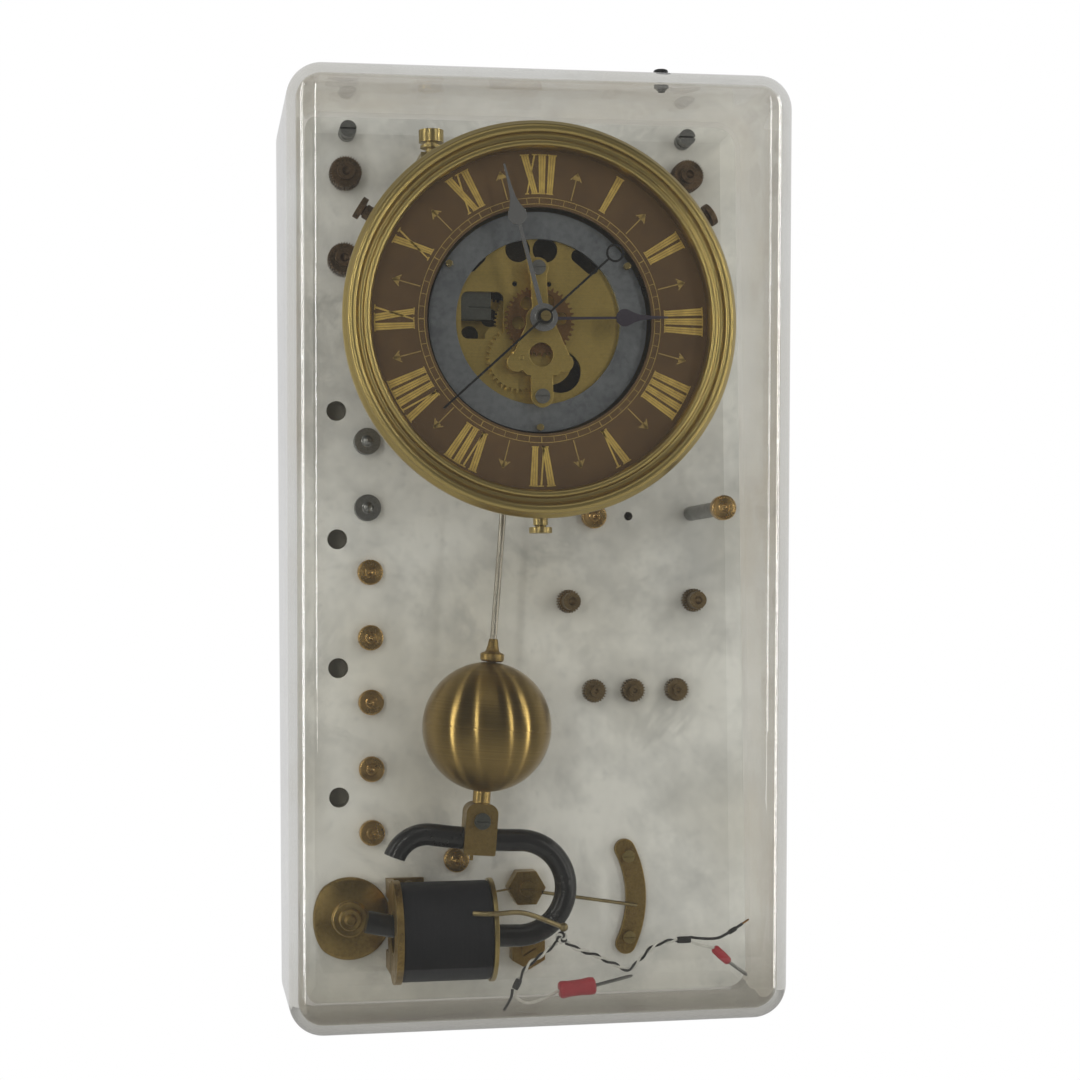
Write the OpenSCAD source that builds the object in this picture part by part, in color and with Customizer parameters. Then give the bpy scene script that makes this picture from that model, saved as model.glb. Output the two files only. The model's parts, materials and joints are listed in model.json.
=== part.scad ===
// Electric pendulum wall clock: a marble slab carries the dial, the coil and the
// terminals, a swinging magnet runs through the coil, and a clear cover closes it.
// Front is -Y, the wall is the plane Y = 0, and the slab's centre is X = 0, Z = 0.

/* [Slab] */
// Width of the marble slab
slab_w = 208; // [200:1:220]
// Height of the marble slab
slab_h = 400; // [390:1:420]
// Thickness of the marble slab
slab_t = 14; // [12:0.5:15]
// Width of the polished bevel round the front
bevel_w = 8; // [4:0.5:10]
// Depth of the polished bevel
bevel_t = 2.5; // [1:0.5:4]
// Radius of the blind sockets on the left
socket_r = 4.5; // [3:0.1:5]
// Depth of the blind sockets
socket_depth = 11; // [8:0.5:11]
// Radius of the holes for the wall bolts
wall_hole_r = 3.5; // [3.3:0.1:4]
// Radius of the thread of each wall bolt
wall_thread_r = 3; // [2.5:0.5:3]
// Distance from the slab's side to each wall bolt
wall_hole_in = 26; // [22:1:30]
// Thread of each wall bolt that stands out of the slab's back
wall_thread_l = 20; // [10:1:40]
// Distance from the slab's top to the wall bolts
wall_hole_down = 8; // [8:1:12]

/* [Cover] */
// Wall of the clear cover
cover_wall = 4; // [3:0.5:5]
// Gap between the slab's edge and the cover
cover_gap = 1; // [0.5:0.1:2]
// Room between the seconds arbor's end and the cover
cover_room = 3.3; // [2:0.1:10]
// How much deeper the cover is at its top than at its bottom
cover_rise = 30; // [20:1:32]
// Outer radius of the cover's edges
cover_edge_r = 15; // [12:1:18]

/* [Dial] */
// Distance from the slab's top to the dial's centre
dial_drop = 100; // [98:0.5:102]
// Outer radius of the drum behind the bezel
drum_r = 80; // [78:0.5:82]
// Depth of the drum from front to back
drum_deep = 25; // [25:0.5:28]
// How far the bezel stands out past the drum
bezel_out = 5.5; // [5:0.1:7]
// How far the bezel reaches in from the drum's radius
bezel_in = 6.5; // [6:0.1:8]
// Inner radius of the chapter ring
chapter_inner_r = 49; // [48.5:0.5:52]
// Outer radius of the grey ring round the movement
inner_ring_r = 47.8; // [46.5:0.1:48]
// Radius of the opening in the grey ring
inner_ring_hole_r = 36; // [35.5:0.5:37]

/* [Movement] */
// Distance between the seconds arbor and the third arbor
train_distance = 20; // [19:0.5:21]
// Direction of the third arbor seen from the front
train_angle = 200; // [190:5:210]
// Distance between the hand tubes and the minute wheel
motion_distance = 18.5; // [18:0.5:19]
// Direction of the minute wheel seen from the front
motion_angle = 242; // [238:1:246]
// Tip radius of the ratchet wheel
ratchet_r = 15.5; // [14:0.5:15.5]
// Teeth on the ratchet wheel, one for each swing
ratchet_teeth = 60; // [60:1:60]

/* [Hands] */
// Length of the hour hand
hour_hand_l = 55; // [50:0.5:60]
// Gap between the tip of the minute hand and the bezel
minute_hand_gap = 6; // [3:0.5:10]
// Length of the seconds hand
seconds_hand_l = 59; // [54:0.5:62]
// Hour shown
shown_hour = 2; // [0:1:11]
// Minute shown
shown_minute = 57; // [0:1:59]
// Second shown
shown_second = 38; // [0:1:59]

/* [Pendulum] */
// Height of the pivot above the dial's centre
pivot_rise = 65; // [64:0.5:66]
// Room between the bob and the slab
bob_room = 2.5; // [2:0.1:4]
// Angle that the pendulum stands to the left of plumb
swing_deg = 4.9; // [4.5:0.1:5]
// Diameter of the pendulum rod
rod_d = 3; // [2.5:0.1:3.2]
// Length of the neck between the bob and the clamp
neck_l = 4.8; // [3:0.1:8]
// Diameter of the bob
bob_d = 57; // [52:0.5:58]
// Diameter of the magnet bar
magnet_d = 9.8; // [9:0.1:10]
// Distance between the magnet's two limbs
limb_gap = 41.8; // [40:0.1:43]

/* [Coil] */
// Distance from the slab's left side to the winding
coil_in = 44; // [43.5:0.5:45]
// Length of the winding
coil_l = 39; // [37:0.5:40]
// Outer radius of the winding
coil_r = 21.5; // [20:0.5:21.5]
// Bore of the coil
coil_bore_r = 9; // [8.5:0.1:9.5]
// Height of the coil's axis above the slab's bottom
coil_rise = 35.5; // [35:0.1:37]

/* [Terminals] */
// Distance from the slab's left side to the slotted terminals
terminal_in = 35; // [34:0.5:36]
// Radius of a slotted terminal
terminal_r = 5.7; // [5:0.1:6]
// Radius of the studs that hold pieces on the slab
stud_r = 1.5; // [1.2:0.1:1.8]
// Depth of a stud in the slab
stud_depth = 9; // [6:0.5:10]

/* [Hidden] */
$fn = 64;
// Clearance of a pressed or screwed fit
fit = 0.02;
// Clearance of a running fit
run = 0.08;
// Clearance of a loose hole
loose = 0.2;
// Overlap that joins two solids of one piece
lap = 0.1;

// Places on the slab, from its edges
function from_left(distance) = distance - slab_w / 2;
function from_right(distance) = slab_w / 2 - distance;
function from_top(distance) = slab_h / 2 - distance;
function from_bottom(distance) = distance - slab_h / 2;
dial_z = from_top(dial_drop);
pivot_z = dial_z + pivot_rise;
coil_z = from_bottom(coil_rise);
coil_left = from_left(coil_in);
terminal_x = from_left(terminal_in);
slab_corner_r = cover_edge_r - cover_wall - cover_gap;

// Pendulum and dial sizes that follow from others
pendulum_depth = slab_t + bob_room + bob_d / 2;
limb_sag = 3.3;
limb_drop = pivot_z - coil_z + limb_sag;
clamp_drop = limb_drop - limb_gap;
clamp_up = 16;
clamp_top = clamp_drop - clamp_up;
bob_drop = clamp_top - neck_l - bob_d / 2;
bezel_r = drum_r + bezel_out;
bezel_opening_r = drum_r - bezel_in;
minute_hand_l = bezel_opening_r - minute_hand_gap;

// Depths of the layers behind the dial, from the wall
drum_back = pendulum_depth + 5;
drum_front = drum_back + drum_deep;
drum_wall = 2;
drum_floor = drum_back + drum_wall;
plate_t = 2;
back_plate_front = drum_floor + plate_t;
front_plate_back = drum_front - 8.5;
front_plate_front = front_plate_back + plate_t;
inner_ring_front = front_plate_front + 2;
chapter_t = 1.5;
chapter_back = drum_front - 1;
chapter_front = chapter_back + chapter_t;
bridge_back = drum_front;
bridge_front = bridge_back + 1.8;
ratchet_t = 1;
ratchet_back = drum_back - ratchet_t - 1.2;
hand_t = 0.8;
hand_pitch = 4;
hour_hand_d = bridge_front + 3.2;
minute_hand_d = hour_hand_d + hand_pitch;
seconds_hand_d = minute_hand_d + hand_pitch;
seconds_hand_t = 0.5;
arbor_front = seconds_hand_d + 2;

// Cover: its front is a plane whose depth is set at the dial's centre
cover_w = slab_w + 2 * (cover_gap + cover_wall);
cover_h = slab_h + 2 * (cover_gap + cover_wall);
cover_slope = cover_rise / cover_h;
cover_depth_middle = arbor_front + cover_room + cover_wall - cover_slope * dial_z;

// Wheels: teeth, and pitch radii from the distances between arbors
second_pinion_teeth = 8;
third_wheel_teeth = 60;
third_pinion_teeth = 8;
centre_wheel_teeth = 64;
cannon_teeth = 12;
minute_wheel_teeth = 36;
minute_pinion_teeth = 10;
hour_wheel_teeth = 40;
function pitch_r(distance, own, other) = distance * own / (own + other);
second_pinion_r = pitch_r(train_distance, second_pinion_teeth, third_wheel_teeth);
third_wheel_r = pitch_r(train_distance, third_wheel_teeth, second_pinion_teeth);
third_pinion_r = pitch_r(train_distance, third_pinion_teeth, centre_wheel_teeth);
centre_wheel_r = pitch_r(train_distance, centre_wheel_teeth, third_pinion_teeth);
cannon_r = pitch_r(motion_distance, cannon_teeth, minute_wheel_teeth);
minute_wheel_r = pitch_r(motion_distance, minute_wheel_teeth, cannon_teeth);
minute_pinion_r = pitch_r(motion_distance, minute_pinion_teeth, hour_wheel_teeth);
hour_wheel_r = pitch_r(motion_distance, hour_wheel_teeth, minute_pinion_teeth);
third_x = train_distance * cos(train_angle);
third_z = dial_z + train_distance * sin(train_angle);
motion_x = motion_distance * cos(motion_angle);
motion_z = dial_z + motion_distance * sin(motion_angle);

// Arbors and hand tubes
seconds_arbor_r = 0.9;
minute_tube_bore_r = seconds_arbor_r + run;
minute_tube_r = 1.8;
hour_tube_bore_r = minute_tube_r + run;
hour_tube_r = 2.7;
small_arbor_r = 0.9;

// Hand angles, clockwise from twelve
second_turn = 6 * shown_second;
minute_turn = 6 * shown_minute + shown_second / 10;
hour_turn = 30 * shown_hour + shown_minute / 2 + shown_second / 120;

// Places on the slab: across, up
socket_places = [for (up = [266, 208, 150, 92]) [from_left(20.5), from_bottom(up)]];
wall_bolt_places = [
    for (side = [-1, 1]) [side * from_right(wall_hole_in), from_top(wall_hole_down)]
];
brass_places = [
    for (up = [193, 163.5, 134.5, 104.5, 76]) [terminal_x, from_bottom(up)],
    [-31, coil_z + 27.5],
    [34, dial_z - 82]
];
steel_places = [for (up = [252, 222]) [terminal_x - 1, from_bottom(up)]];
tall_knurled_places = [for (x = [21.5, from_right(24)]) [x, dial_z - 121]];
low_knurled_places = [for (in = [71, 53, 32.5]) [from_right(in), dial_z - 162]];
knob_places = [
    [from_left(25), from_top(27)], [from_left(24), from_top(66)], [from_right(25), from_top(25)]
];
long_post_place = [from_right(24), dial_z - 81];
small_socket_place = [50.5, dial_z - 82];
small_socket_r = 2;
disc_place = [from_left(24.7), coil_z + 2.5];
disc_r = 18.4;
upper_nut_place = [0, coil_z + 14.5];
lower_nut_place = [0.5, coil_z - 13.5];
nut_flats = 15;
nut_h = 9;
nut_stud_r = 3.5;
nut_stud_h = 2.5;
lead_post_place = [-41, from_top(27)];

// Curved bar at the lower right
arc_bar_r = 49;
arc_bar_place = [2.5, coil_z + 8.5];
arc_bar_half_angle = 26;
arc_bar_w = 9.4;
arc_bar_t = 3;
arc_screw_angle = 22;
arc_screw_places = [
    for (side = [-1, 1])
        arc_bar_place + arc_bar_r * [cos(arc_screw_angle), side * sin(arc_screw_angle)]
];

// Suspension and pillars
cock_t = 3;
cock_w = 24;
cock_z0 = pivot_z - 5;
cock_z1 = pivot_z + 19;
cock_screw_places = [for (side = [-1, 1]) [side * 8.5, pivot_z + 7]];
cock_arm_w = 10;
cock_arm_z0 = pivot_z + 6;
cock_arm_front = pendulum_depth + 4;
cock_arm_h = 11;
spring_t = 0.3;
spring_w = 4;
spring_half_l = 8;
spring_socket = 0.2;
cock_slot_l = pivot_z + spring_half_l - cock_arm_z0 + 2;
pillar_r = 4;
pillar_circle_r = drum_r - 18;
corner_angles = [45, 135, 225, 315];
function round_dial(r, angles) = [for (a = angles) [r * cos(a), dial_z + r * sin(a)]];
pillar_places = round_dial(pillar_circle_r, corner_angles);

// Screws, pins and plates of the dial
thumbscrew_angles = [32, 148, 270];
thumbscrew_depth = drum_front - 5;
thumbscrew_r = 1.2;
skirt_t = 3;
foot_angles = [90, 210, 330];
foot_circle_r = drum_r - 16;
foot_r = 2;
ring_pin_r = 1;
ring_pin_places = round_dial(46, thumbscrew_angles);
plate_r = 47.5;
plate_pillar_r = 2.6;
plate_pillar_places = round_dial(41, corner_angles);
bridge_feet = [[-1, 22.5], [0.3, 3 - inner_ring_hole_r]];
bridge_screw_r = 1.1;
bridge_foot_r = 2.2;
bridge_lobes = [[motion_x, motion_z - dial_z], [10, -18.5], [-11, -18.5]];
bridge_window = [0, -15];

// Pendulum pieces, as distances down from the pivot
hanger_w = 4.8;
hanger_top = 6;
hanger_h = 12;
pawl_pin_drop = 12;
pawl_pin_r = 0.6;
ferrule_l = 10.2;
ferrule_top = bob_drop - bob_d / 2 - ferrule_l;
neck_r = 3.9;
ferrule_neck_r = 2;
bob_socket = 0.6;
clamp_w = 14;
clamp_deep = 14;
clamp_h = 22.5;
clamp_screw_drop = clamp_drop - 8.5;

// Coil bracket
coil_right = coil_left + coil_l;
bracket_t = 3;
bracket_h = 2 * (coil_r + 1);
bracket_foot_l = 14;
flange_t = 2;
former_r = coil_bore_r + 1.2;
bracket_screw_places = [
    for (side = [-1, 1]) [coil_left + bracket_foot_l / 2, coil_z + side * 16]
];

// Screw heads that hold pieces on the slab
screw_r = 2.8;
screw_h = 2;

// Knob on the cover
cover_knob_x = from_right(50);
cover_knob_depth = 78;
cover_knob_r = 3.2;
cover_knob_h = 4.6;
cover_stud_r = 1.6;

// Free leads: routes are across, depth towards the front as -Y, up
pair_d = 2.2;
wire_d = 1.3;
knot_place = [9, -60, -167];
knot_r = 2.6;
left_pair_route = [[7, -60, -169], [0, -61, -174], [-6, -62, -178], [-10, -62, -184]];
right_pair_route = [
    [11, -60, -169], [16, -61, -172], [24, -62, -175], [31, -62, -178.5],
    [38.5, -62, -181.5], [44, -62, -176.5], [51, -62, -171], [60, -62, -169.5]
];
left_white_route = [
    [-11, -62, -188], [-11.5, -63, -191.5], [-7, -64, -194], [0, -64, -192.5], [7, -64, -189]
];
left_black_route = [[-13, -62, -188], [-14, -63, -192], [-17, -63, -197]];
right_black_route = [
    [66, -62, -168.5], [72, -62, -169.3], [78, -62, -169.3], [83, -61, -167.5], [90, -60, -163.7]
];
right_white_route = [[66, -62, -170.5], [71, -62, -172.2], [76.5, -62, -173.6]];
tape_r = 1.7;
left_tape = [[-10, -62, -184], [-12, -62, -188]];
right_tape = [[60, -62, -169.5], [66, -62, -169.5]];
left_sleeve = [[7, -64, -189], [23, -64, -187.4]];
left_sleeve_r = 3.8;
left_pin = [[23, -64, -187.4], [39.5, -64, -183.8]];
right_sleeve = [[76.5, -62, -173.6], [83.3, -62, -180]];
right_sleeve_r = 2.2;
right_pin = [[83.3, -62, -180], [91.3, -62, -186]];
pin_r = 0.8;

// Shared shapes

// Draws facing front: X across, Y up, Z out of the wall, at a depth from the wall
module at(place, depth) {
    translate([place[0], -depth, place[1]]) rotate([90, 0, 0]) children();
}

// Round post between two depths
module post(place, from, to, r) {
    at(place, from) cylinder(r = r, h = to - from);
}

// Ring between two depths, round the dial's centre
module dial_ring(outer_r, inner_r, from, to) {
    at([0, dial_z], from) difference() {
        cylinder(r = outer_r, h = to - from);
        translate([0, 0, -1]) cylinder(r = inner_r, h = to - from + 2);
    }
}

// Round end with a hollow in the middle of its face, standing on Z = 0
module dimpled_end(r, h, dimple_r) {
    difference() {
        cylinder(r = r, h = h);
        translate([0, 0, h + dimple_r / 4]) sphere(r = dimple_r);
    }
}

// Round head with a straight slot, standing on Z = 0
module slotted_head(r, h) {
    slot_w = r / 4;
    slot_depth = h / 2;
    difference() {
        cylinder(r = r, h = h);
        translate([-r, -slot_w / 2, h - slot_depth]) cube([2 * r, slot_w, slot_depth + 1]);
    }
}

// Stud of a piece that stands on the slab
module stud(place) {
    post(place, slab_t - stud_depth, slab_t + lap, stud_r);
}

// Screw with a slotted head on a face at a depth, with its stud behind the face
module face_screw(place, depth, r, h, stud_l) {
    at(place, depth) {
        slotted_head(r, h);
        translate([0, 0, -stud_l]) cylinder(r = stud_r, h = stud_l + lap);
    }
}

// Round bar between two points
module bar(from, to, r) {
    run_v = to - from;
    length = norm(run_v);
    translate(from)
        rotate([0, acos(run_v[2] / length), atan2(run_v[1], run_v[0])])
            cylinder(r = r, h = length);
}

// Flat gear outline with one tooth pointing along its turn
module gear_outline(teeth, r, turn) {
    size = 2 * r / teeth;
    root_r = r - 1.15 * size;
    tip_r = r + 0.75 * size;
    step = 360 / teeth;
    circle(r = root_r);
    for (i = [0 : teeth - 1])
        rotate(turn + i * step) polygon([
            [root_r * 0.96, -root_r * sin(0.28 * step)],
            [r, -r * sin(0.2 * step)],
            [tip_r, -tip_r * sin(0.11 * step)],
            [tip_r, tip_r * sin(0.11 * step)],
            [r, r * sin(0.2 * step)],
            [root_r * 0.96, root_r * sin(0.28 * step)]
        ]);
}

// Wheel with a bore, teeth, a rim and round windows
module wheel(teeth, r, turn, h, bore_r, windows, window_r, window_circle_r) {
    linear_extrude(height = h) difference() {
        gear_outline(teeth, r, turn);
        circle(r = bore_r);
        for (i = [1 : windows])
            rotate(turn + i * 360 / windows)
                translate([window_circle_r, 0]) circle(r = window_r);
    }
}

// Rectangle with round corners, centred
module round_rect(w, h, r) {
    square([w - 2 * r, h], center = true);
    square([w, h - 2 * r], center = true);
    for (x = [-1, 1], z = [-1, 1])
        translate([x * (w / 2 - r), z * (h / 2 - r)]) circle(r = r);
}

// Straight link with round ends between two points
module link(from, to, w) {
    run_v = to - from;
    translate(from) rotate(atan2(run_v[1], run_v[0]))
        translate([0, -w / 2]) square([norm(run_v), w]);
    for (p = [from, to]) translate(p) circle(d = w);
}

// Puts pieces drawn round the pivot, in the front view, where the pendulum stands
module on_pendulum(depth) {
    at([0, pivot_z], depth) rotate(-swing_deg) children();
}

// Tube swept along a smooth curve through a route of points
function curve_point(a, b, c, d, t) =
    b + t / 2 * (c - a + t * (2 * a - 5 * b + 4 * c - d + t * (3 * b - a - 3 * c + d)));
function smooth(route, steps) = [
    for (i = [0 : len(route) - 2], k = [0 : steps - 1])
        curve_point(
            route[max(i - 1, 0)], route[i], route[i + 1],
            route[min(i + 2, len(route) - 1)], k / steps
        ),
    route[len(route) - 1]
];
function unit(v) = v / norm(v);
function along(route, i) =
    unit(route[min(i + 1, len(route) - 1)] - route[max(i - 1, 0)]);
function ring_points(route, i, d, sides) =
    let (
        t = along(route, i),
        side = unit(cross(t, [0, 1, 0])),
        up = cross(side, t)
    )
    [for (k = [0 : sides - 1])
        route[i] + d / 2 * (cos(360 * k / sides) * side + sin(360 * k / sides) * up)];
module cord(places, d, steps) {
    sides = 8;
    route = smooth(places, steps);
    last = len(route) - 1;
    points = [for (i = [0 : last]) each ring_points(route, i, d, sides)];
    walls = [
        for (i = [0 : last - 1], k = [0 : sides - 1])
            let (next = (k + 1) % sides)
            [i * sides + k, i * sides + next, (i + 1) * sides + next, (i + 1) * sides + k]
    ];
    start_cap = [for (k = [0 : sides - 1]) sides - 1 - k];
    end_cap = [for (k = [0 : sides - 1]) last * sides + k];
    polyhedron(points, concat(walls, [start_cap, end_cap]));
}

// Slab and what stands on it

module stud_holes(places) {
    for (p = places) post(p, slab_t - stud_depth - loose, slab_t + 1, stud_r + fit);
}

module marble_slab() {
    tilt = atan(bevel_t / bevel_w);
    color("gainsboro") difference() {
        at([0, 0], 0) linear_extrude(height = slab_t) round_rect(slab_w, slab_h, slab_corner_r);
        for (side = [0, 1]) mirror([side, 0, 0])
            translate([slab_w / 2 - bevel_w, -slab_t, -slab_h]) rotate([0, 0, tilt])
                translate([0, -slab_t, 0]) cube([2 * slab_t, slab_t, 2 * slab_h]);
        for (side = [0, 1]) mirror([0, 0, side])
            translate([-slab_w, -slab_t, slab_h / 2 - bevel_w]) rotate([-tilt, 0, 0])
                translate([0, -slab_t, 0]) cube([2 * slab_w, slab_t, 2 * slab_t]);
        for (p = socket_places) post(p, slab_t - socket_depth, slab_t + 1, socket_r);
        for (p = wall_bolt_places) post(p, -1, slab_t + 1, wall_hole_r);
        post(small_socket_place, slab_t - socket_depth, slab_t + 1, small_socket_r);
        stud_holes(concat(brass_places, steel_places, tall_knurled_places, low_knurled_places));
        stud_holes(concat(knob_places, [long_post_place, disc_place]));
        stud_holes([upper_nut_place, lower_nut_place, lead_post_place]);
        stud_holes(concat(cock_screw_places, bracket_screw_places, arc_screw_places));
        stud_holes(pillar_places);
    }
}

module wall_bolts() {
    nut_r = 3.8;
    collar_h = 5;
    waist_r = 2.8;
    waist_h = 1.5;
    color("darkgoldenrod") for (p = wall_bolt_places) at(p, slab_t) {
        cylinder(r = nut_r, h = collar_h);
        cylinder(r = waist_r, h = collar_h + waist_h + lap);
        translate([0, 0, collar_h + waist_h]) slotted_head(nut_r, collar_h);
        translate([0, 0, -slab_t]) cylinder(r = wall_hole_r - loose, h = slab_t + lap);
        translate([0, 0, -slab_t - wall_thread_l])
            cylinder(r = wall_thread_r, h = wall_thread_l + lap);
    }
}

module dial_pillars() {
    head_r = 3.2;
    color("goldenrod") for (p = pillar_places) {
        post(p, slab_t, drum_back, pillar_r);
        stud(p);
        post(p, drum_back - lap, drum_floor + lap, stud_r);
        at(p, drum_floor) slotted_head(head_r, screw_h);
    }
}

module lead_post() {
    block_w = 11;
    block_depth = 22;
    block_h = 14;
    screw_depth = slab_t + 14;
    shank_r = 2.6;
    shank_l = 6;
    washer_r = 5;
    washer_t = 1.2;
    washer_up = 3.2;
    head_r = 5.6;
    head_h = 5.5;
    x = lead_post_place[0];
    top = lead_post_place[1] + block_h / 2;
    color("peru") {
        translate([x - block_w / 2, -slab_t - block_depth, top - block_h])
            cube([block_w, block_depth, block_h]);
        stud(lead_post_place);
        translate([x, -screw_depth, top - lap]) cylinder(r = shank_r, h = shank_l);
        translate([x, -screw_depth, top + washer_up]) cylinder(r = washer_r, h = washer_t);
        translate([x, -screw_depth, top + shank_l - 2 * lap]) slotted_head(head_r, head_h);
    }
}

module steel_terminals() {
    base_r = 6;
    base_h = 5;
    dome_r = 2.6;
    dome_sunk = 0.8;
    color("slategray") for (p = steel_places) {
        post(p, slab_t, slab_t + base_h, base_r);
        at(p, slab_t + base_h) intersection() {
            translate([0, 0, -dome_sunk]) sphere(r = dome_r);
            cylinder(r = base_r, h = dome_r);
        }
        stud(p);
    }
}

module brass_terminals() {
    base_h = 4;
    boss_r = 2.4;
    boss_h = 0.8;
    dimple_r = 1.1;
    color("darkgoldenrod") for (p = brass_places) {
        post(p, slab_t, slab_t + base_h, terminal_r);
        at(p, slab_t + base_h - lap) dimpled_end(boss_r, boss_h + lap, dimple_r);
        stud(p);
    }
}

module knurled_terminals() {
    grip_r = 5;
    grip_h = 6;
    tall_h = 13;
    tall_r = 3.9;
    low_h = 8;
    low_r = 2.4;
    color("tan") {
        for (p = tall_knurled_places) knurled(p, 24, grip_r, grip_h, tall_r, tall_h);
        for (p = low_knurled_places) knurled(p, 24, grip_r, grip_h, low_r, low_h);
    }
}

// Ridged grip with a post in front of it that ends in a dimple, on a stud
module knurled(place, ridges, grip_r, grip_h, post_r, total_h) {
    at(place, slab_t) linear_extrude(height = grip_h) gear_outline(ridges, grip_r, 0);
    at(place, slab_t + grip_h - lap) dimpled_end(post_r, total_h - grip_h + lap, post_r / 2);
    stud(place);
}

module dark_knobs() {
    grip_r = 7;
    grip_h = 9;
    cap_r = 4;
    cap_h = 11;
    color("saddlebrown") for (p = knob_places) knurled(p, 36, grip_r, grip_h, cap_r, cap_h);
}

module long_post() {
    post_l = 58;
    post_r = 3.3;
    head_r = 5.4;
    head_h = 5;
    dimple_r = 1.6;
    color("dimgray") {
        post(long_post_place, slab_t, slab_t + post_l, post_r);
        stud(long_post_place);
        at(long_post_place, slab_t + post_l - lap) dimpled_end(head_r, head_h, dimple_r);
    }
}

module slab_screws() {
    color("darkgoldenrod") {
        for (p = cock_screw_places)
            face_screw(p, slab_t + cock_t, screw_r, screw_h, cock_t + stud_depth);
        for (p = bracket_screw_places)
            face_screw(p, slab_t + bracket_t, screw_r, screw_h, bracket_t + stud_depth);
        for (p = arc_screw_places)
            face_screw(p, slab_t + arc_bar_t, screw_r, screw_h, arc_bar_t + stud_depth);
    }
}

module disc_terminal() {
    color("darkgoldenrod") at(disc_place, slab_t) {
        rotate_extrude() polygon([
            [0, 0], [disc_r, 0], [disc_r, 2], [disc_r - 1, 3], [8, 3], [7.4, 5], [5, 5],
            [4.6, 7], [2.6, 7], [2, 8.5], [0, 8.5]
        ]);
        translate([0, 0, -stud_depth]) cylinder(r = stud_r, h = stud_depth + lap);
    }
}

module hex_nut(place, turn) {
    at(place, slab_t) rotate(turn) {
        cylinder(r = nut_flats / 2 / cos(30), h = nut_h, $fn = 6);
        translate([0, 0, nut_h - lap]) slotted_head(nut_stud_r, nut_stud_h);
    }
    stud(place);
}

module hex_nuts() {
    color("peru") {
        hex_nut(upper_nut_place, 0);
        hex_nut(lower_nut_place, 30);
    }
}

module arc_bar() {
    color("peru") at(arc_bar_place, slab_t) difference() {
        union() {
            rotate(-arc_bar_half_angle) rotate_extrude(angle = 2 * arc_bar_half_angle)
                translate([arc_bar_r - arc_bar_w / 2, 0]) square([arc_bar_w, arc_bar_t]);
            for (side = [-1, 1]) rotate(side * arc_bar_half_angle)
                translate([arc_bar_r, 0, 0]) cylinder(d = arc_bar_w, h = arc_bar_t);
        }
        for (side = [-1, 1]) rotate(side * arc_screw_angle)
            translate([arc_bar_r, 0, -1]) cylinder(r = stud_r + loose, h = arc_bar_t + 2);
    }
}

// Rigid leads: coil to its free end, coil to the upper nut, upper nut to the curved bar
module stiff_leads() {
    lead_r = 1.1;
    bar_lead_r = 0.8;
    thin_r = 0.5;
    lead_up = 10;
    lead_z = coil_z + lead_up;
    winding_front = pendulum_depth + sqrt(coil_r * coil_r - lead_up * lead_up);
    over_flange = pendulum_depth + bracket_h / 2 + lead_r + loose;
    coil_end = [coil_right - 9, -winding_front - lead_r - fit, lead_z];
    rising = [coil_right - 4, 0.5 - over_flange, lead_z];
    crossing = [coil_right + flange_t / 2, -over_flange, lead_z];
    falling = [-8, -66, lead_z - 0.5];
    bead_r = 2;
    bead = knot_place + [1, 0, knot_r + bead_r - lap];
    bead_end = bead - (bead_r + fit) * unit(bead - falling);
    nut_x = upper_nut_place[0];
    nut_z = upper_nut_place[1];
    flange_end = [coil_right + flange_t + thin_r + lap, 5 - pendulum_depth, nut_z + 1];
    nut_end = [nut_x - nut_flats / 2, -slab_t - nut_h - thin_r, nut_z];
    bar_start = [nut_x + nut_flats / 2 - 0.5, -slab_t - nut_h - bar_lead_r - loose, nut_z - 2];
    bar_end = [arc_bar_place[0] + arc_bar_r, -slab_t - arc_bar_t - bar_lead_r, arc_bar_place[1] - 4];
    color("peru") {
        cord([coil_end, rising, crossing, falling, bead_end], 2 * lead_r, 6);
        translate(bead) sphere(r = bead_r);
        bar(flange_end, nut_end, thin_r);
        bar(bar_start, bar_end, bar_lead_r);
    }
}

// Dial, drum and bezel

module dial_drum() {
    color("darkkhaki") difference() {
        at([0, dial_z], drum_back) rotate_extrude() polygon([
            [0, 0], [drum_r, 0], [drum_r, drum_front - drum_back],
            [drum_r - drum_wall, drum_front - drum_back],
            [drum_r - drum_wall, drum_wall], [0, drum_wall]
        ]);
        post([0, dial_z], drum_back - 1, drum_floor + 1, seconds_arbor_r + 0.6);
        for (p = pillar_places) post(p, drum_back - 1, drum_floor + 1, stud_r + fit);
    }
}

module bezel() {
    skirt_back = thumbscrew_depth - 4;
    skirt_in = drum_r + 0.3;
    skirt_out = drum_r + skirt_t;
    lip_back = drum_front + 1.2;
    front = lip_back + 8.8;
    color("darkgoldenrod") difference() {
        at([0, dial_z], 0) rotate_extrude() {
            polygon([
                [skirt_in, skirt_back], [skirt_out, skirt_back], [skirt_out, lip_back],
                [bezel_r, lip_back + 1], [bezel_r, lip_back + 4], [bezel_r - 1.5, front - 2],
                [bezel_r - 6, front - 2], [bezel_r - 7, front - 3.4], [bezel_r - 8, front - 3.4],
                [bezel_r - 9, front - 2], [bezel_opening_r + 0.8, front - 2],
                [bezel_opening_r, front - 3], [bezel_opening_r, lip_back], [skirt_in, lip_back]
            ]);
            translate([bezel_r - 3.8, front - 2.2]) circle(r = 2.2);
            translate([bezel_opening_r + 1.9, front - 2.4]) circle(r = 1.6);
        }
        for (a = thumbscrew_angles) radial(a)
            cylinder(r = thumbscrew_r + run, h = bezel_r);
    }
}

// Axis that points out of the dial at an angle
module radial(angle) {
    translate([0, -thumbscrew_depth, dial_z]) rotate([0, 90 - angle, 0]) children();
}

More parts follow.
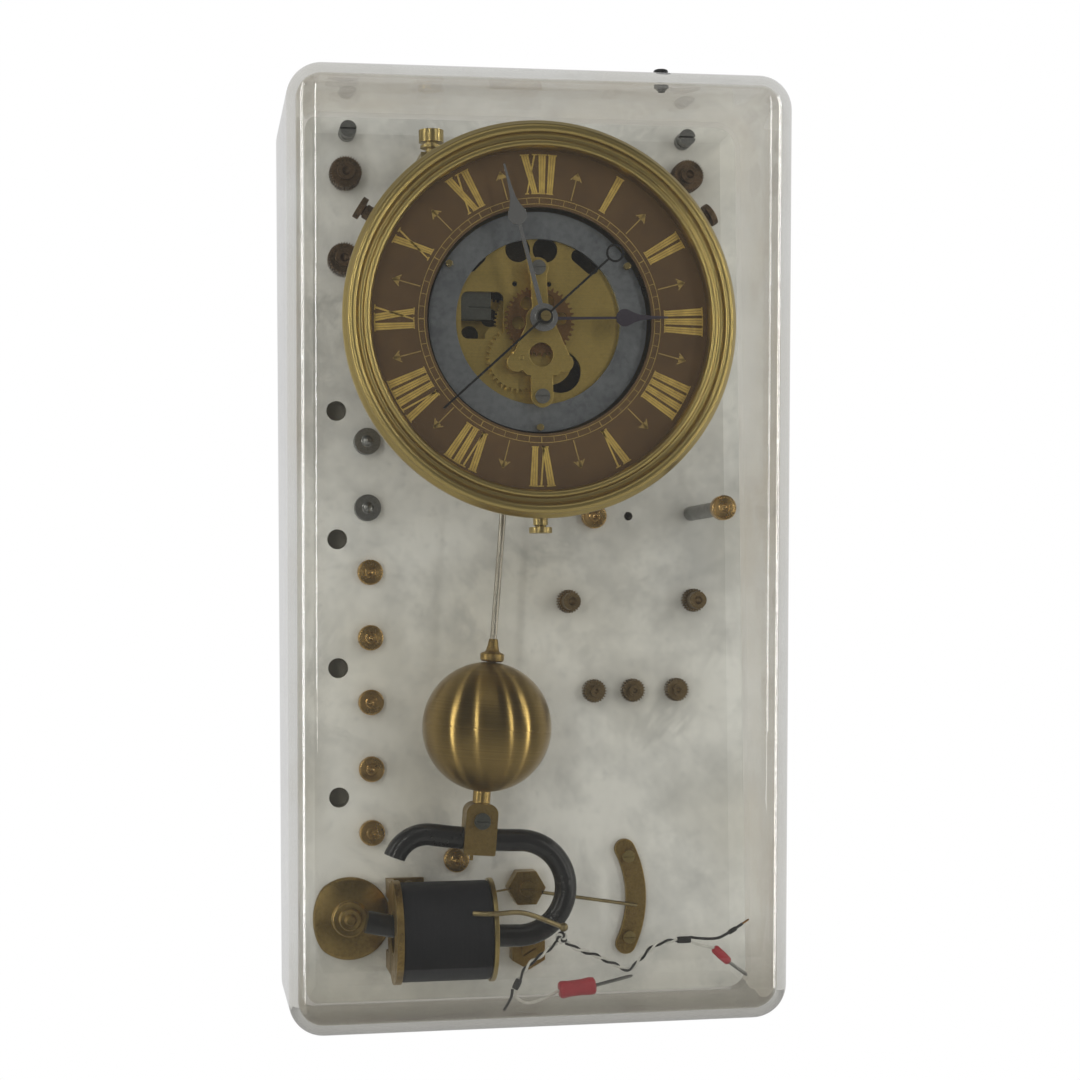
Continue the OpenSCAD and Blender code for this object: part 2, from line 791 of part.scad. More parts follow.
module thumbscrew(angle) {
    tip = drum_r + 0.4;
    neck = drum_r + skirt_t + loose;
    collar_r = 3.2;
    collar_l = 5;
    waist_r = 2.4;
    waist_l = 0.8;
    grip_r = 5;
    grip_t = 2.6;
    color("darkgoldenrod") radial(angle) {
        translate([0, 0, tip]) cylinder(r = thumbscrew_r, h = neck - tip + lap);
        translate([0, 0, neck]) cylinder(r = collar_r, h = collar_l);
        translate([0, 0, neck]) cylinder(r = waist_r, h = collar_l + waist_l + lap);
        translate([0, 0, neck + collar_l + waist_l]) cylinder(r = grip_r, h = grip_t);
    }
}

module thumbscrew_right() { thumbscrew(thumbscrew_angles[0]); }
module thumbscrew_left() { thumbscrew(thumbscrew_angles[1]); }
module thumbscrew_bottom() { thumbscrew(thumbscrew_angles[2]); }

// Chapter ring with the three feet that stand on the drum's floor
module chapter_ring() {
    color("saddlebrown") {
        dial_ring(drum_r - drum_wall - 0.5, chapter_inner_r, chapter_back, chapter_front);
        for (p = round_dial(foot_circle_r, foot_angles))
            post(p, drum_floor, chapter_back + lap, foot_r);
    }
}

module inner_ring() {
    color("slategray") difference() {
        dial_ring(inner_ring_r, inner_ring_hole_r, front_plate_front, inner_ring_front);
        for (p = ring_pin_places)
            post(p, front_plate_front - 1, inner_ring_front + 1, ring_pin_r + fit);
    }
}

module ring_pins() {
    head_r = 1.5;
    head_h = 3;
    color("gold") for (p = ring_pin_places) {
        post(p, front_plate_back, inner_ring_front + lap, ring_pin_r);
        post(p, inner_ring_front, inner_ring_front + head_h, head_r);
    }
}

// Movement

// Back plate with the riveted pillars that carry the front plate
module back_plate() {
    color("darkkhaki") difference() {
        union() {
            post([0, dial_z], drum_floor, back_plate_front, plate_r);
            for (p = plate_pillar_places)
                post(p, back_plate_front - lap, front_plate_back, plate_pillar_r);
        }
        post([0, dial_z], drum_floor - 1, back_plate_front + 1, seconds_arbor_r + run);
        post([third_x, third_z], drum_floor - 1, back_plate_front + 1, small_arbor_r + run);
    }
}

module front_plate() {
    window_left = [-33.5, -7.5];
    window_size = [18.5, 20.5];
    window_round = 3;
    lug_r = 4.5;
    top_lobe_r = 5.5;
    color("darkkhaki") at([0, dial_z], front_plate_back) linear_extrude(height = plate_t)
        difference() {
            circle(r = plate_r);
            circle(r = minute_tube_r + run);
            translate([third_x, third_z - dial_z]) circle(r = small_arbor_r + run);
            translate([motion_x, motion_z - dial_z]) circle(r = small_arbor_r + run);
            for (p = ring_pin_places) translate([p[0], p[1] - dial_z]) circle(r = ring_pin_r + fit);
            for (p = [[-8.5, 31.5], [3.5, 31.5]]) translate(p) circle(r = top_lobe_r);
            link([18, 29], [24, 24], 6);
            link([-29, 24], [-25, 28], 5);
            for (p = [[-10, 16.5], [5, 16.5]]) translate(p) circle(r = 1.1);
            difference() {
                translate(window_left) offset(r = window_round) offset(delta = -window_round)
                    square(window_size);
                translate([0, -4]) circle(r = 15);
                translate([third_x, third_z - dial_z]) circle(r = lug_r);
            }
            difference() {
                translate([9.5, -21.5]) circle(r = 9.2);
                translate([5, -17.5]) circle(r = 9.6);
                translate([0, -35]) square([6, 20]);
            }
            for (p = bridge_feet) translate(p) circle(r = bridge_screw_r + fit);
        }
}

// Slit block behind the plate's left window
module steel_block() {
    corner = [-36, 1];
    size = [15.8, 13.5];
    block_t = 3.6;
    slit_w = 0.7;
    color("lightslategray") at([0, dial_z], front_plate_back - block_t) difference() {
        translate(corner) cube([size[0], size[1], block_t]);
        translate([corner[0] + 6, corner[1] + 5, block_t - 1]) cube([size[0], slit_w, 2]);
    }
}

// Bridge in front of the hour wheel, on two feet
module front_bridge() {
    color("khaki") at([0, dial_z], 0) {
        translate([0, 0, bridge_back]) linear_extrude(height = bridge_front - bridge_back)
            difference() {
                union() {
                    link(bridge_feet[0], [0, 0], 7);
                    circle(r = 6.5);
                    polygon([[-5.5, 0], [5.5, 0], [13, -17], [7, -24], [-6, -24], [-13, -17]]);
                    for (p = bridge_lobes) translate(p) circle(r = 4);
                    link([0, -18], bridge_feet[1], 9.5);
                    translate(bridge_feet[0]) circle(r = 4.5);
                }
                circle(r = hour_tube_r + run);
                translate(bridge_window) circle(r = 5.2);
                translate(bridge_lobes[0]) circle(r = small_arbor_r + run);
                for (p = bridge_feet) translate(p) circle(r = bridge_screw_r + fit);
            }
        for (p = bridge_feet) translate([p[0], p[1], front_plate_front]) difference() {
            cylinder(r = bridge_foot_r, h = bridge_back - front_plate_front);
            translate([0, 0, -1])
                cylinder(r = bridge_screw_r + fit, h = bridge_back - front_plate_front + 2);
        }
    }
}

module bridge_screws() {
    head_r = 3.2;
    head_h = 1.5;
    color("silver") at([0, dial_z], bridge_front) for (p = bridge_feet) translate(p) {
        slotted_head(head_r, head_h);
        translate([0, 0, front_plate_back - bridge_front])
            cylinder(r = bridge_screw_r, h = bridge_front - front_plate_back + lap);
    }
}

// Seconds arbor with its pinion
module seconds_arbor() {
    end = 0.4;
    head_r = 2.2;
    head_d = seconds_hand_d + seconds_hand_t + fit;
    color("silver") at([0, dial_z], 0) {
        translate([0, 0, ratchet_back - end])
            cylinder(r = seconds_arbor_r, h = head_d + lap - ratchet_back + end);
        translate([0, 0, head_d]) slotted_head(head_r, arbor_front - head_d);
        translate([0, 0, back_plate_front + 0.8]) linear_extrude(height = 3.6)
            gear_outline(second_pinion_teeth, second_pinion_r, train_angle);
    }
}

// Ratchet wheel with saw teeth, behind the drum
module ratchet_wheel() {
    step = 360 / ratchet_teeth;
    root_r = ratchet_r - 1.2;
    color("sienna") at([0, dial_z], ratchet_back) linear_extrude(height = ratchet_t)
        difference() {
            union() {
                circle(r = root_r);
                for (i = [0 : ratchet_teeth - 1]) rotate(i * step) polygon([
                    [root_r - 0.4, 0], [ratchet_r, 0],
                    [(root_r - 0.1) * cos(step), (root_r - 0.1) * sin(step)]
                ]);
            }
            circle(r = seconds_arbor_r + fit);
            for (i = [0 : 4]) rotate(i * 72) translate([8, 0]) circle(r = 3.2);
        }
}

module third_wheel() {
    color("darkkhaki") at([third_x, third_z], 0) {
        translate([0, 0, drum_floor]) cylinder(r = small_arbor_r, h = front_plate_front - drum_floor);
        translate([0, 0, back_plate_front + 2.2])
            wheel(third_wheel_teeth, third_wheel_r, train_angle + 180 + 180 / third_wheel_teeth,
                1.2, small_arbor_r - 0.1, 5, 4, 10);
        translate([0, 0, back_plate_front + 4.9]) linear_extrude(height = 5)
            gear_outline(third_pinion_teeth, third_pinion_r, train_angle + 180);
    }
}

// Minute tube with the cannon pinion and the nut that holds the minute hand
module minute_tube() {
    tube_back = back_plate_front + 5.5;
    tube_front = minute_hand_d + 2.5;
    color("darkkhaki") at([0, dial_z], 0) difference() {
        union() {
            translate([0, 0, tube_back]) cylinder(r = minute_tube_r, h = tube_front - tube_back);
            translate([0, 0, front_plate_front + 0.7]) linear_extrude(height = 2)
                gear_outline(cannon_teeth, cannon_r, motion_angle);
            translate([0, 0, minute_hand_d + hand_t + fit])
                cylinder(r = 3.8, h = tube_front - minute_hand_d - hand_t - fit);
        }
        translate([0, 0, tube_back - 1])
            cylinder(r = minute_tube_bore_r, h = tube_front - tube_back + 2);
    }
}

module centre_wheel() {
    color("darkkhaki") at([0, dial_z], back_plate_front + 6.5)
        wheel(centre_wheel_teeth, centre_wheel_r, train_angle + 180 / centre_wheel_teeth,
            1.2, minute_tube_r + fit, 5, 4, 10);
}

// Minute wheel and pinion on one arbor
module minute_wheel() {
    color("sienna") at([motion_x, motion_z], 0) {
        translate([0, 0, front_plate_back])
            cylinder(r = small_arbor_r, h = bridge_front - front_plate_back);
        translate([0, 0, front_plate_front + 0.9])
            wheel(minute_wheel_teeth, minute_wheel_r, motion_angle + 180 + 180 / minute_wheel_teeth,
                1.2, small_arbor_r - 0.1, 0, 0, 0);
        translate([0, 0, front_plate_front + 2]) linear_extrude(height = 3.6)
            gear_outline(minute_pinion_teeth, minute_pinion_r, motion_angle + 180);
    }
}

// Hour wheel on the hour tube
module hour_wheel() {
    tube_back = front_plate_front + 3.2;
    tube_front = hour_hand_d + hand_t + 0.6;
    color("chocolate") at([0, dial_z], 0) {
        difference() {
            translate([0, 0, tube_back]) cylinder(r = hour_tube_r, h = tube_front - tube_back);
            translate([0, 0, tube_back - 1])
                cylinder(r = hour_tube_bore_r, h = tube_front - tube_back + 2);
        }
        translate([0, 0, front_plate_front + 3.7])
            wheel(hour_wheel_teeth, hour_wheel_r, motion_angle + 180 / hour_wheel_teeth,
                1.2, hour_tube_r - 0.1, 6, 2.8, 9.3);
    }
}

// Leaf-shaped hand: collar, shaft, leaf and fine tip, pointing up before it is turned
module hand_outline(length, leaf_at, leaf_r, shaft_w, collar_r, bore_r) {
    difference() {
        union() {
            circle(r = collar_r);
            polygon([
                [-shaft_w / 2, 0], [shaft_w / 2, 0],
                [shaft_w / 3, leaf_at], [-shaft_w / 3, leaf_at]
            ]);
            translate([0, leaf_at]) circle(r = leaf_r);
            polygon([
                [-leaf_r * 0.92, leaf_at + leaf_r * 0.4], [leaf_r * 0.92, leaf_at + leaf_r * 0.4],
                [leaf_r * 0.6, leaf_at + leaf_r], [leaf_r * 0.32, leaf_at + leaf_r * 1.8],
                [0.7, leaf_at + leaf_r * 3.2], [0.4, length], [-0.4, length],
                [-0.7, leaf_at + leaf_r * 3.2], [-leaf_r * 0.32, leaf_at + leaf_r * 1.8],
                [-leaf_r * 0.6, leaf_at + leaf_r]
            ]);
        }
        circle(r = bore_r);
    }
}

module hour_hand() {
    color("midnightblue") at([0, dial_z], hour_hand_d) rotate(-hour_turn)
        linear_extrude(height = hand_t)
            hand_outline(hour_hand_l, 36, 3.8, 1.4, 5.4, hour_tube_r + fit);
}

module minute_hand() {
    color("lightslategray") at([0, dial_z], minute_hand_d) rotate(-minute_turn)
        linear_extrude(height = hand_t)
            hand_outline(minute_hand_l, 45, 4.1, 2.2, 6, minute_tube_r + fit);
}

// Seconds hand with a ring on its tail
module seconds_hand() {
    ring_at = 41;
    ring_r = 4;
    hand_w = 1;
    hub_r = 3.3;
    color("dimgray") at([0, dial_z], seconds_hand_d) rotate(-second_turn)
        linear_extrude(height = seconds_hand_t) difference() {
            union() {
                circle(r = hub_r);
                translate([-hand_w / 2, -ring_at]) square([hand_w, ring_at + seconds_hand_l]);
                translate([0, -ring_at]) circle(r = ring_r);
            }
            translate([0, -ring_at]) circle(r = ring_r - hand_w);
            circle(r = seconds_arbor_r + fit);
        }
}

// Suspension and pendulum

module suspension_cock() {
    color("goldenrod") difference() {
        union() {
            translate([-cock_w / 2, -slab_t - cock_t, cock_z0])
                cube([cock_w, cock_t, cock_z1 - cock_z0]);
            translate([-cock_arm_w / 2, -cock_arm_front, cock_arm_z0])
                cube([cock_arm_w, cock_arm_front - slab_t - cock_t + lap, cock_arm_h]);
        }
        translate([
            -spring_t / 2 - fit, -pendulum_depth - spring_w / 2 - spring_socket, cock_arm_z0 - 1
        ])
            cube([spring_t + 2 * fit, spring_w + 2 * spring_socket, cock_slot_l]);
        for (p = cock_screw_places) post(p, slab_t - 1, slab_t + cock_t + 1, stud_r + loose);
    }
}

// Thin strip that bends at the pivot, drawn round the pivot in the front view
module suspension_spring() {
    half = spring_t / 2;
    mitre = half * tan(swing_deg / 2);
    low = spring_half_l * [-sin(swing_deg), -cos(swing_deg)];
    side = half * [cos(swing_deg), -sin(swing_deg)];
    color("silver") at([0, pivot_z], pendulum_depth - spring_w / 2)
        linear_extrude(height = spring_w) polygon([
            [-half, spring_half_l], [half, spring_half_l], [half, -mitre], low + side,
            low - side, [-half, mitre]
        ]);
}

module pendulum_hanger() {
    hanger_across = 8;
    socket_w = spring_w + 2 * spring_socket;
    pin_l = 1.9;
    color("goldenrod") {
        on_pendulum(pendulum_depth - hanger_w / 2) difference() {
            translate([-hanger_across / 2, -hanger_top - hanger_h, 0])
                cube([hanger_across, hanger_h, hanger_w]);
            translate([-spring_t / 2 - fit, -spring_half_l - lap, (hanger_w - socket_w) / 2])
                cube([spring_t + 2 * fit, spring_half_l, socket_w]);
        }
        on_pendulum(pendulum_depth + hanger_w / 2 - lap) translate([0, -pawl_pin_drop, 0])
            cylinder(r = pawl_pin_r, h = pin_l);
    }
}

module pendulum_rod() {
    rod_top = hanger_top + hanger_h;
    color("darkgoldenrod") on_pendulum(pendulum_depth) rotate([90, 0, 0])
        translate([0, 0, rod_top]) cylinder(d = rod_d, h = ferrule_top - rod_top);
}

// Turned cone and bead on top of the bob
module rod_ferrule() {
    cone_h = 5.4;
    cone_top_r = 2;
    cone_r = 3;
    flare_h = 0.9;
    ring_r = 5.3;
    neck_l = bob_drop - bob_d / 2 + bob_socket / 2 - ferrule_top;
    color("darkgoldenrod") on_pendulum(pendulum_depth) rotate([90, 0, 0])
        translate([0, 0, ferrule_top]) {
            cylinder(r1 = cone_top_r, r2 = cone_r, h = cone_h);
            translate([0, 0, cone_h - lap]) cylinder(r = ferrule_neck_r, h = neck_l - cone_h + lap);
            translate([0, 0, cone_h - lap]) cylinder(r1 = cone_r, r2 = ring_r, h = flare_h + lap);
            translate([0, 0, cone_h + flare_h - lap])
                cylinder(r = ring_r, h = ferrule_l - cone_h - flare_h + lap);
        }
}

module pendulum_bob() {
    color("darkgoldenrod") on_pendulum(pendulum_depth) rotate([90, 0, 0])
        difference() {
            translate([0, 0, bob_drop]) sphere(d = bob_d, $fn = 128);
            translate([0, 0, bob_drop - bob_d / 2 - bob_socket])
                cylinder(r = ferrule_neck_r + fit, h = 2 * bob_socket);
            translate([0, 0, bob_drop + bob_d / 2 - bob_socket])
                cylinder(r = neck_r + fit, h = 2 * bob_socket);
        }
}

// Neck and block that hold the magnet
module magnet_clamp() {
    neck_top = bob_drop + bob_d / 2 - bob_socket + lap;
    pin_r = 0.8;
    pin_l = 3;
    pin_x = -2.5;
    screw_hole_l = 6;
    groove_sweep = 4;
    shoulder_r = 4.5;
    foot_r = 1;
    color("darkgoldenrod") on_pendulum(pendulum_depth) rotate([90, 0, 0]) difference() {
        union() {
            translate([0, 0, neck_top]) cylinder(r = neck_r, h = clamp_top - neck_top + lap);
            translate([0, clamp_deep / 2, clamp_top]) rotate([90, 0, 0])
                linear_extrude(height = clamp_deep) hull() for (side = [-1, 1]) {
                    translate([side * (clamp_w / 2 - shoulder_r), shoulder_r])
                        circle(r = shoulder_r);
                    translate([side * (clamp_w / 2 - foot_r), clamp_h - foot_r])
                        circle(r = foot_r);
                }
            translate([pin_x, 0, clamp_top + clamp_h - lap]) cylinder(r = pin_r, h = pin_l);
        }
        rotate([-90, 0, 0])
            ring_section(clamp_drop, magnet_d / 2 + fit, -90 - groove_sweep / 2, groove_sweep);
        translate([0, clamp_deep / 2 + 1, clamp_screw_drop]) rotate([90, 0, 0])
            cylinder(r = stud_r + fit, h = screw_hole_l + 1);
    }
}

module clamp_screw() {
    head_r = 3.6;
    head_h = 2.4;
    shank_l = 5;
    color("midnightblue") on_pendulum(pendulum_depth + clamp_deep / 2)
        translate([0, -clamp_screw_drop, 0]) {
            slotted_head(head_r, head_h);
            translate([0, 0, -shank_l]) cylinder(r = stud_r, h = shank_l + lap);
        }
}

// Round bar along a circle about the pivot, in the front view
module ring_section(r, bar_r, from, sweep) {
    rotate(from) rotate_extrude(angle = sweep, $fn = 128)
        translate([r, 0]) circle(r = bar_r, $fn = 32);
}

// Magnet bar: two limbs on circles about the pivot, joined by a round bend on the right
module magnet_bar() {
    bar_r = magnet_d / 2;
    bend_r = (limb_drop - clamp_drop) / 2;
    bend_drop = (limb_drop + clamp_drop) / 2;
    bend_angle = 3.6;
    limb_angle = 11.6;
    upper_angle = 7.7;
    hook_r = 15;
    hook_sweep = 78;
    bend_lap = 3;
    bend_bar_r = bar_r - 0.06;
    color("black") on_pendulum(pendulum_depth) {
        ring_section(limb_drop, bar_r, -90 + bend_angle - limb_angle, limb_angle);
        ring_section(clamp_drop, bar_r, -90 + bend_angle - upper_angle, upper_angle);
        rotate(bend_angle) translate([0, -bend_drop, 0])
            ring_section(bend_r, bend_bar_r, -90 - bend_lap, 180 + 2 * bend_lap);
        rotate(bend_angle - upper_angle) translate([0, -clamp_drop - hook_r, 0])
            ring_section(hook_r, bend_bar_r, 90 - bend_lap, hook_sweep + bend_lap);
    }
}

// Blade that hangs from the hanger's pin and drives the ratchet wheel
module drive_pawl() {
    pin = [-pawl_pin_drop * sin(swing_deg), pivot_z - pawl_pin_drop * cos(swing_deg)];
    tip = dial_z + ratchet_r + 0.6;
    color("silver") at(pin, ratchet_back) linear_extrude(height = ratchet_t) difference() {
        union() {
            circle(r = 1.8);
            translate([-0.6, tip - pin[1]]) square([1.2, pin[1] - tip]);
            polygon([
                [-0.6, tip - pin[1]], [0.6, tip - pin[1]], [1.6, tip - pin[1] + 1.6],
                [0.6, tip - pin[1] + 3]
            ]);
        }
        circle(r = pawl_pin_r + run);
    }
}

// Click that keeps the ratchet wheel from turning back, on a stud behind the drum
module click_spring() {
    stud = [26, dial_z - 12];
    tip_r = ratchet_r + 0.4;
    tip = [tip_r * cos(20), dial_z + tip_r * sin(20)];
    color("silver") {
        post(stud, ratchet_back, drum_back, 2.5);
        at([0, 0], ratchet_back) linear_extrude(height = ratchet_t)
            polygon([stud + [-0.8, 0], stud + [0.8, 0], tip + [0.9, 0.3], tip + [0.2, 0]]);
    }
}

// Coil

module along_coil(x) {
    translate([x, -pendulum_depth, coil_z]) rotate([0, 90, 0]) children();
}

// Plate on the coil's left end, bent to a foot on the slab
module coil_bracket() {
    plate_x = coil_left - bracket_t;
    leg_w = 8;
    color("darkgoldenrod") difference() {
        union() {
            along_coil(plate_x) cylinder(d = bracket_h, h = bracket_t);
            for (p = bracket_screw_places) {
                translate([plate_x, -pendulum_depth, p[1] - leg_w / 2])
                    cube([bracket_t, pendulum_depth - slab_t, leg_w]);
                translate([plate_x, -slab_t - bracket_t, p[1] - leg_w / 2])
                    cube([bracket_t + bracket_foot_l, bracket_t, leg_w]);
            }
        }
        along_coil(plate_x - 1) cylinder(r = former_r + fit, h = bracket_t + 2);
        for (p = bracket_screw_places)
            post(p, slab_t - 1, slab_t + bracket_t + 1, stud_r + loose);
    }
}

// Tube through the coil, with the flange on its right end
module coil_former() {
    left = coil_left - bracket_t;
    color("goldenrod") difference() {
        union() {
            along_coil(left) cylinder(r = former_r, h = coil_right - left + flange_t);
            along_coil(coil_right) cylinder(d = bracket_h, h = flange_t);
        }
        along_coil(left - 1) cylinder(r = coil_bore_r, h = coil_right - left + flange_t + 2);
    }
}

module coil_winding() {
    color("black") difference() {
        along_coil(coil_left) cylinder(r = coil_r, h = coil_l);
        along_coil(coil_left - 1) cylinder(r = former_r + fit, h = coil_l + 2);
    }
}

// Clear cover: a box with round edges whose front leans out towards the top

module cover_block(r, back) {
    rest = cover_edge_r * sqrt(1 + cover_slope * cover_slope);
    hull() for (x = [-1, 1], z = [-1, 1]) {
        corner = [x * (cover_w / 2 - cover_edge_r), z * (cover_h / 2 - cover_edge_r)];
        at(corner, cover_depth_middle + cover_slope * corner[1] - rest) sphere(r = r, $fn = 32);
        at(corner, back) cylinder(r = r, h = 10, $fn = 32);
    }
}

module clear_cover() {
    color("white", 0.25) difference() {
        cover_block(cover_edge_r, 0);
        cover_block(cover_edge_r - cover_wall, -5);
        translate([cover_knob_x, -cover_knob_depth, cover_h / 2 - cover_wall - 1])
            cylinder(r = cover_stud_r + fit, h = cover_wall + 2);
    }
}

// Knob on top that the cover is drawn off by
module cover_knob() {
    color("black") translate([cover_knob_x, -cover_knob_depth, cover_h / 2]) {
        translate([0, 0, -cover_wall]) cylinder(r = cover_stud_r, h = cover_wall + lap);
        cylinder(r = cover_knob_r, h = cover_knob_h);
    }
}

// Free leads

module lead_ends() {
    color("firebrick") {
        translate(knot_place) sphere(r = knot_r);
        bar(left_tape[0], left_tape[1], tape_r);
        bar(right_tape[0], right_tape[1], tape_r);
        bar(left_sleeve[0], left_sleeve[1], left_sleeve_r);
        bar(left_pin[0], left_pin[1], pin_r);
        bar(right_sleeve[0], right_sleeve[1], right_sleeve_r);
        bar(right_pin[0], right_pin[1], pin_r);
    }
}

module left_pair() { color("dimgray") cord(left_pair_route, pair_d, 6); }
module right_pair() { color("dimgray") cord(right_pair_route, pair_d, 5); }
module left_white_wire() { color("white") cord(left_white_route, wire_d, 5); }
module left_black_wire() { color("black") cord(left_black_route, wire_d, 8); }
module right_white_wire() { color("white") cord(right_white_route, wire_d, 8); }
module right_black_wire() { color("black") cord(right_black_route, wire_d, 6); }

marble_slab();
wall_bolts();
dial_pillars();
dial_drum();
bezel();
chapter_ring();
inner_ring();
ring_pins();
back_plate();
front_plate();
steel_block();
front_bridge();
bridge_screws();
suspension_cock();
suspension_spring();
click_spring();
lead_post();
steel_terminals();
brass_terminals();
knurled_terminals();
dark_knobs();
long_post();
coil_bracket();
coil_former();
coil_winding();
slab_screws();
disc_terminal();
hex_nuts();
arc_bar();
stiff_leads();
pendulum_hanger();
pendulum_rod();
rod_ferrule();
pendulum_bob();
magnet_clamp();
clamp_screw();
magnet_bar();
drive_pawl();
seconds_arbor();
ratchet_wheel();
seconds_hand();
third_wheel();
minute_tube();
centre_wheel();
minute_hand();
minute_wheel();
hour_wheel();
hour_hand();
clear_cover();
cover_knob();
thumbscrew_left();
thumbscrew_right();
thumbscrew_bottom();
lead_ends();
left_pair();
right_pair();
left_white_wire();
left_black_wire();
right_white_wire();
right_black_wire();
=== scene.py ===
"""Looks of the electric pendulum wall clock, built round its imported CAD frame.

Sizes are millimetres in the classes and metres in Blender, in the frame of the CAD part:
+Z is up, +X is to the viewer's right, the front faces -Y and the wall is the plane Y = 0.
"""

import json
import logging
import math
from dataclasses import dataclass
from enum import Enum
from typing import ClassVar, Optional, Sequence, Union

import bmesh
import bpy
from mathutils import Matrix, Vector


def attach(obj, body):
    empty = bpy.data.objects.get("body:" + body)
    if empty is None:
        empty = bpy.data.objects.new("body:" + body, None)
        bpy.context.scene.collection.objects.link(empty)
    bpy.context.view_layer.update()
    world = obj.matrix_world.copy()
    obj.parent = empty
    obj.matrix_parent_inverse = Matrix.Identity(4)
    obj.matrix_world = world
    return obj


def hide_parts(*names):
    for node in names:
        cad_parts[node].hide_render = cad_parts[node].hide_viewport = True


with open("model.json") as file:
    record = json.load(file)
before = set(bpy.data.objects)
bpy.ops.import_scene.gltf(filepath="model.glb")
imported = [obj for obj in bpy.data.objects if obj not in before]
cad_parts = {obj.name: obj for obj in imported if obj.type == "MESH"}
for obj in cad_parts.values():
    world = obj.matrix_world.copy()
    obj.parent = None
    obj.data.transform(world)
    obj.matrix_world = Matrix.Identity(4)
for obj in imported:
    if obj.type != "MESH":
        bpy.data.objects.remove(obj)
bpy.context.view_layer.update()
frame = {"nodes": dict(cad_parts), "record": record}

LOG = logging.getLogger("wall_clock")
MM = 0.001
MILLIMETRES = Matrix.Scale(MM, 4)
FULL_TURN = 2 * math.pi
QUARTER_TURN = math.pi / 2

Colour = tuple[float, float, float]
Point = tuple[float, float, float]
Flat = tuple[float, float]
Route = tuple[Point, ...]
Shape = bmesh.types.BMesh
Socket = bpy.types.NodeSocket
Value = Union[float, Sequence[float], Socket]


# Node trees

def rgba(colour: Colour) -> tuple[float, float, float, float]:
    """Gives a colour its full alpha."""
    return (*colour, 1.0)


class Wiring:
    """Adds nodes to one node tree and joins their sockets."""

    def __init__(self, tree: bpy.types.NodeTree) -> None:
        """Keeps the tree and empties it."""
        self.tree = tree
        tree.nodes.clear()

    def node(
        self, kind: str, inputs: Optional[dict[Union[str, int], Value]] = None, **settings: object
    ) -> bpy.types.Node:
        """Adds one node.

        Args:
            kind: The node's type, without the words that all shader nodes start with.
            inputs: Values, or sockets to join, by the input's name or number.
            settings: Properties of the node.

        Returns:
            The new node.
        """
        made = self.tree.nodes.new("ShaderNode" + kind)
        for name, value in settings.items():
            setattr(made, name, value)
        for key, value in (inputs or {}).items():
            self.feed(made.inputs[key], value)
        return made

    def feed(self, socket: Socket, value: Value) -> None:
        """Joins a socket to an input, or sets the input's own value.

        Args:
            socket: The input.
            value: A socket, or a plain value.
        """
        if isinstance(value, Socket):
            self.tree.links.new(value, socket)
        else:
            socket.default_value = value

    def math(self, operation: str, first: Value, second: Value = 0.0,
             clamp: bool = False) -> Socket:
        """Gives the result of an operation on two values, held to 0 to 1 if clamped."""
        made = self.node("Math", {0: first, 1: second}, operation=operation, use_clamp=clamp)
        return made.outputs[0]

    def times(self, first: Value, second: Value) -> Socket:
        """Gives the product of two values."""
        return self.math("MULTIPLY", first, second)

    def absent(self, mask: Value) -> Socket:
        """Gives 1 where a mask is 0, and 0 where it is 1."""
        return self.math("SUBTRACT", 1.0, mask)

    def split(self, vector: Value) -> Sequence[Socket]:
        """Gives the X, Y and Z of a vector."""
        return tuple(self.node("SeparateXYZ", {0: vector}).outputs)

    def mix(self, factor: Value, first: bpy.types.Node, second: bpy.types.Node) -> Socket:
        """Gives two shaders mixed, with the factor as the share of the second one."""
        shaders = {0: factor, 1: first.outputs[0], 2: second.outputs[0]}
        return self.node("MixShader", shaders).outputs[0]

    def blend(self, factor: Value, first: Value, second: Value) -> Socket:
        """Gives two colours mixed, with the factor as the share of the second one."""
        made = self.node("Mix", {0: factor, 6: first, 7: second}, data_type="RGBA")
        return made.outputs[2]

    def ramp(self, value: Value, low: float, high: float, start: Value = 0.0,
             end: Value = 1.0) -> Socket:
        """Gives a value mapped from low and high to start and end, and held there."""
        return self.node("MapRange", {
            "Value": value, "From Min": low, "From Max": high, "To Min": start, "To Max": end,
        }).outputs[0]

    def noise(self, vector: Value, scale: Value, detail: float = 4.0,
              rough: float = 0.55) -> Socket:
        """Gives a cloudy value from 0 to 1, with the scale as clouds in a metre."""
        return self.node("TexNoise", {
            "Vector": vector, "Scale": scale, "Detail": detail, "Roughness": rough,
        }).outputs[0]


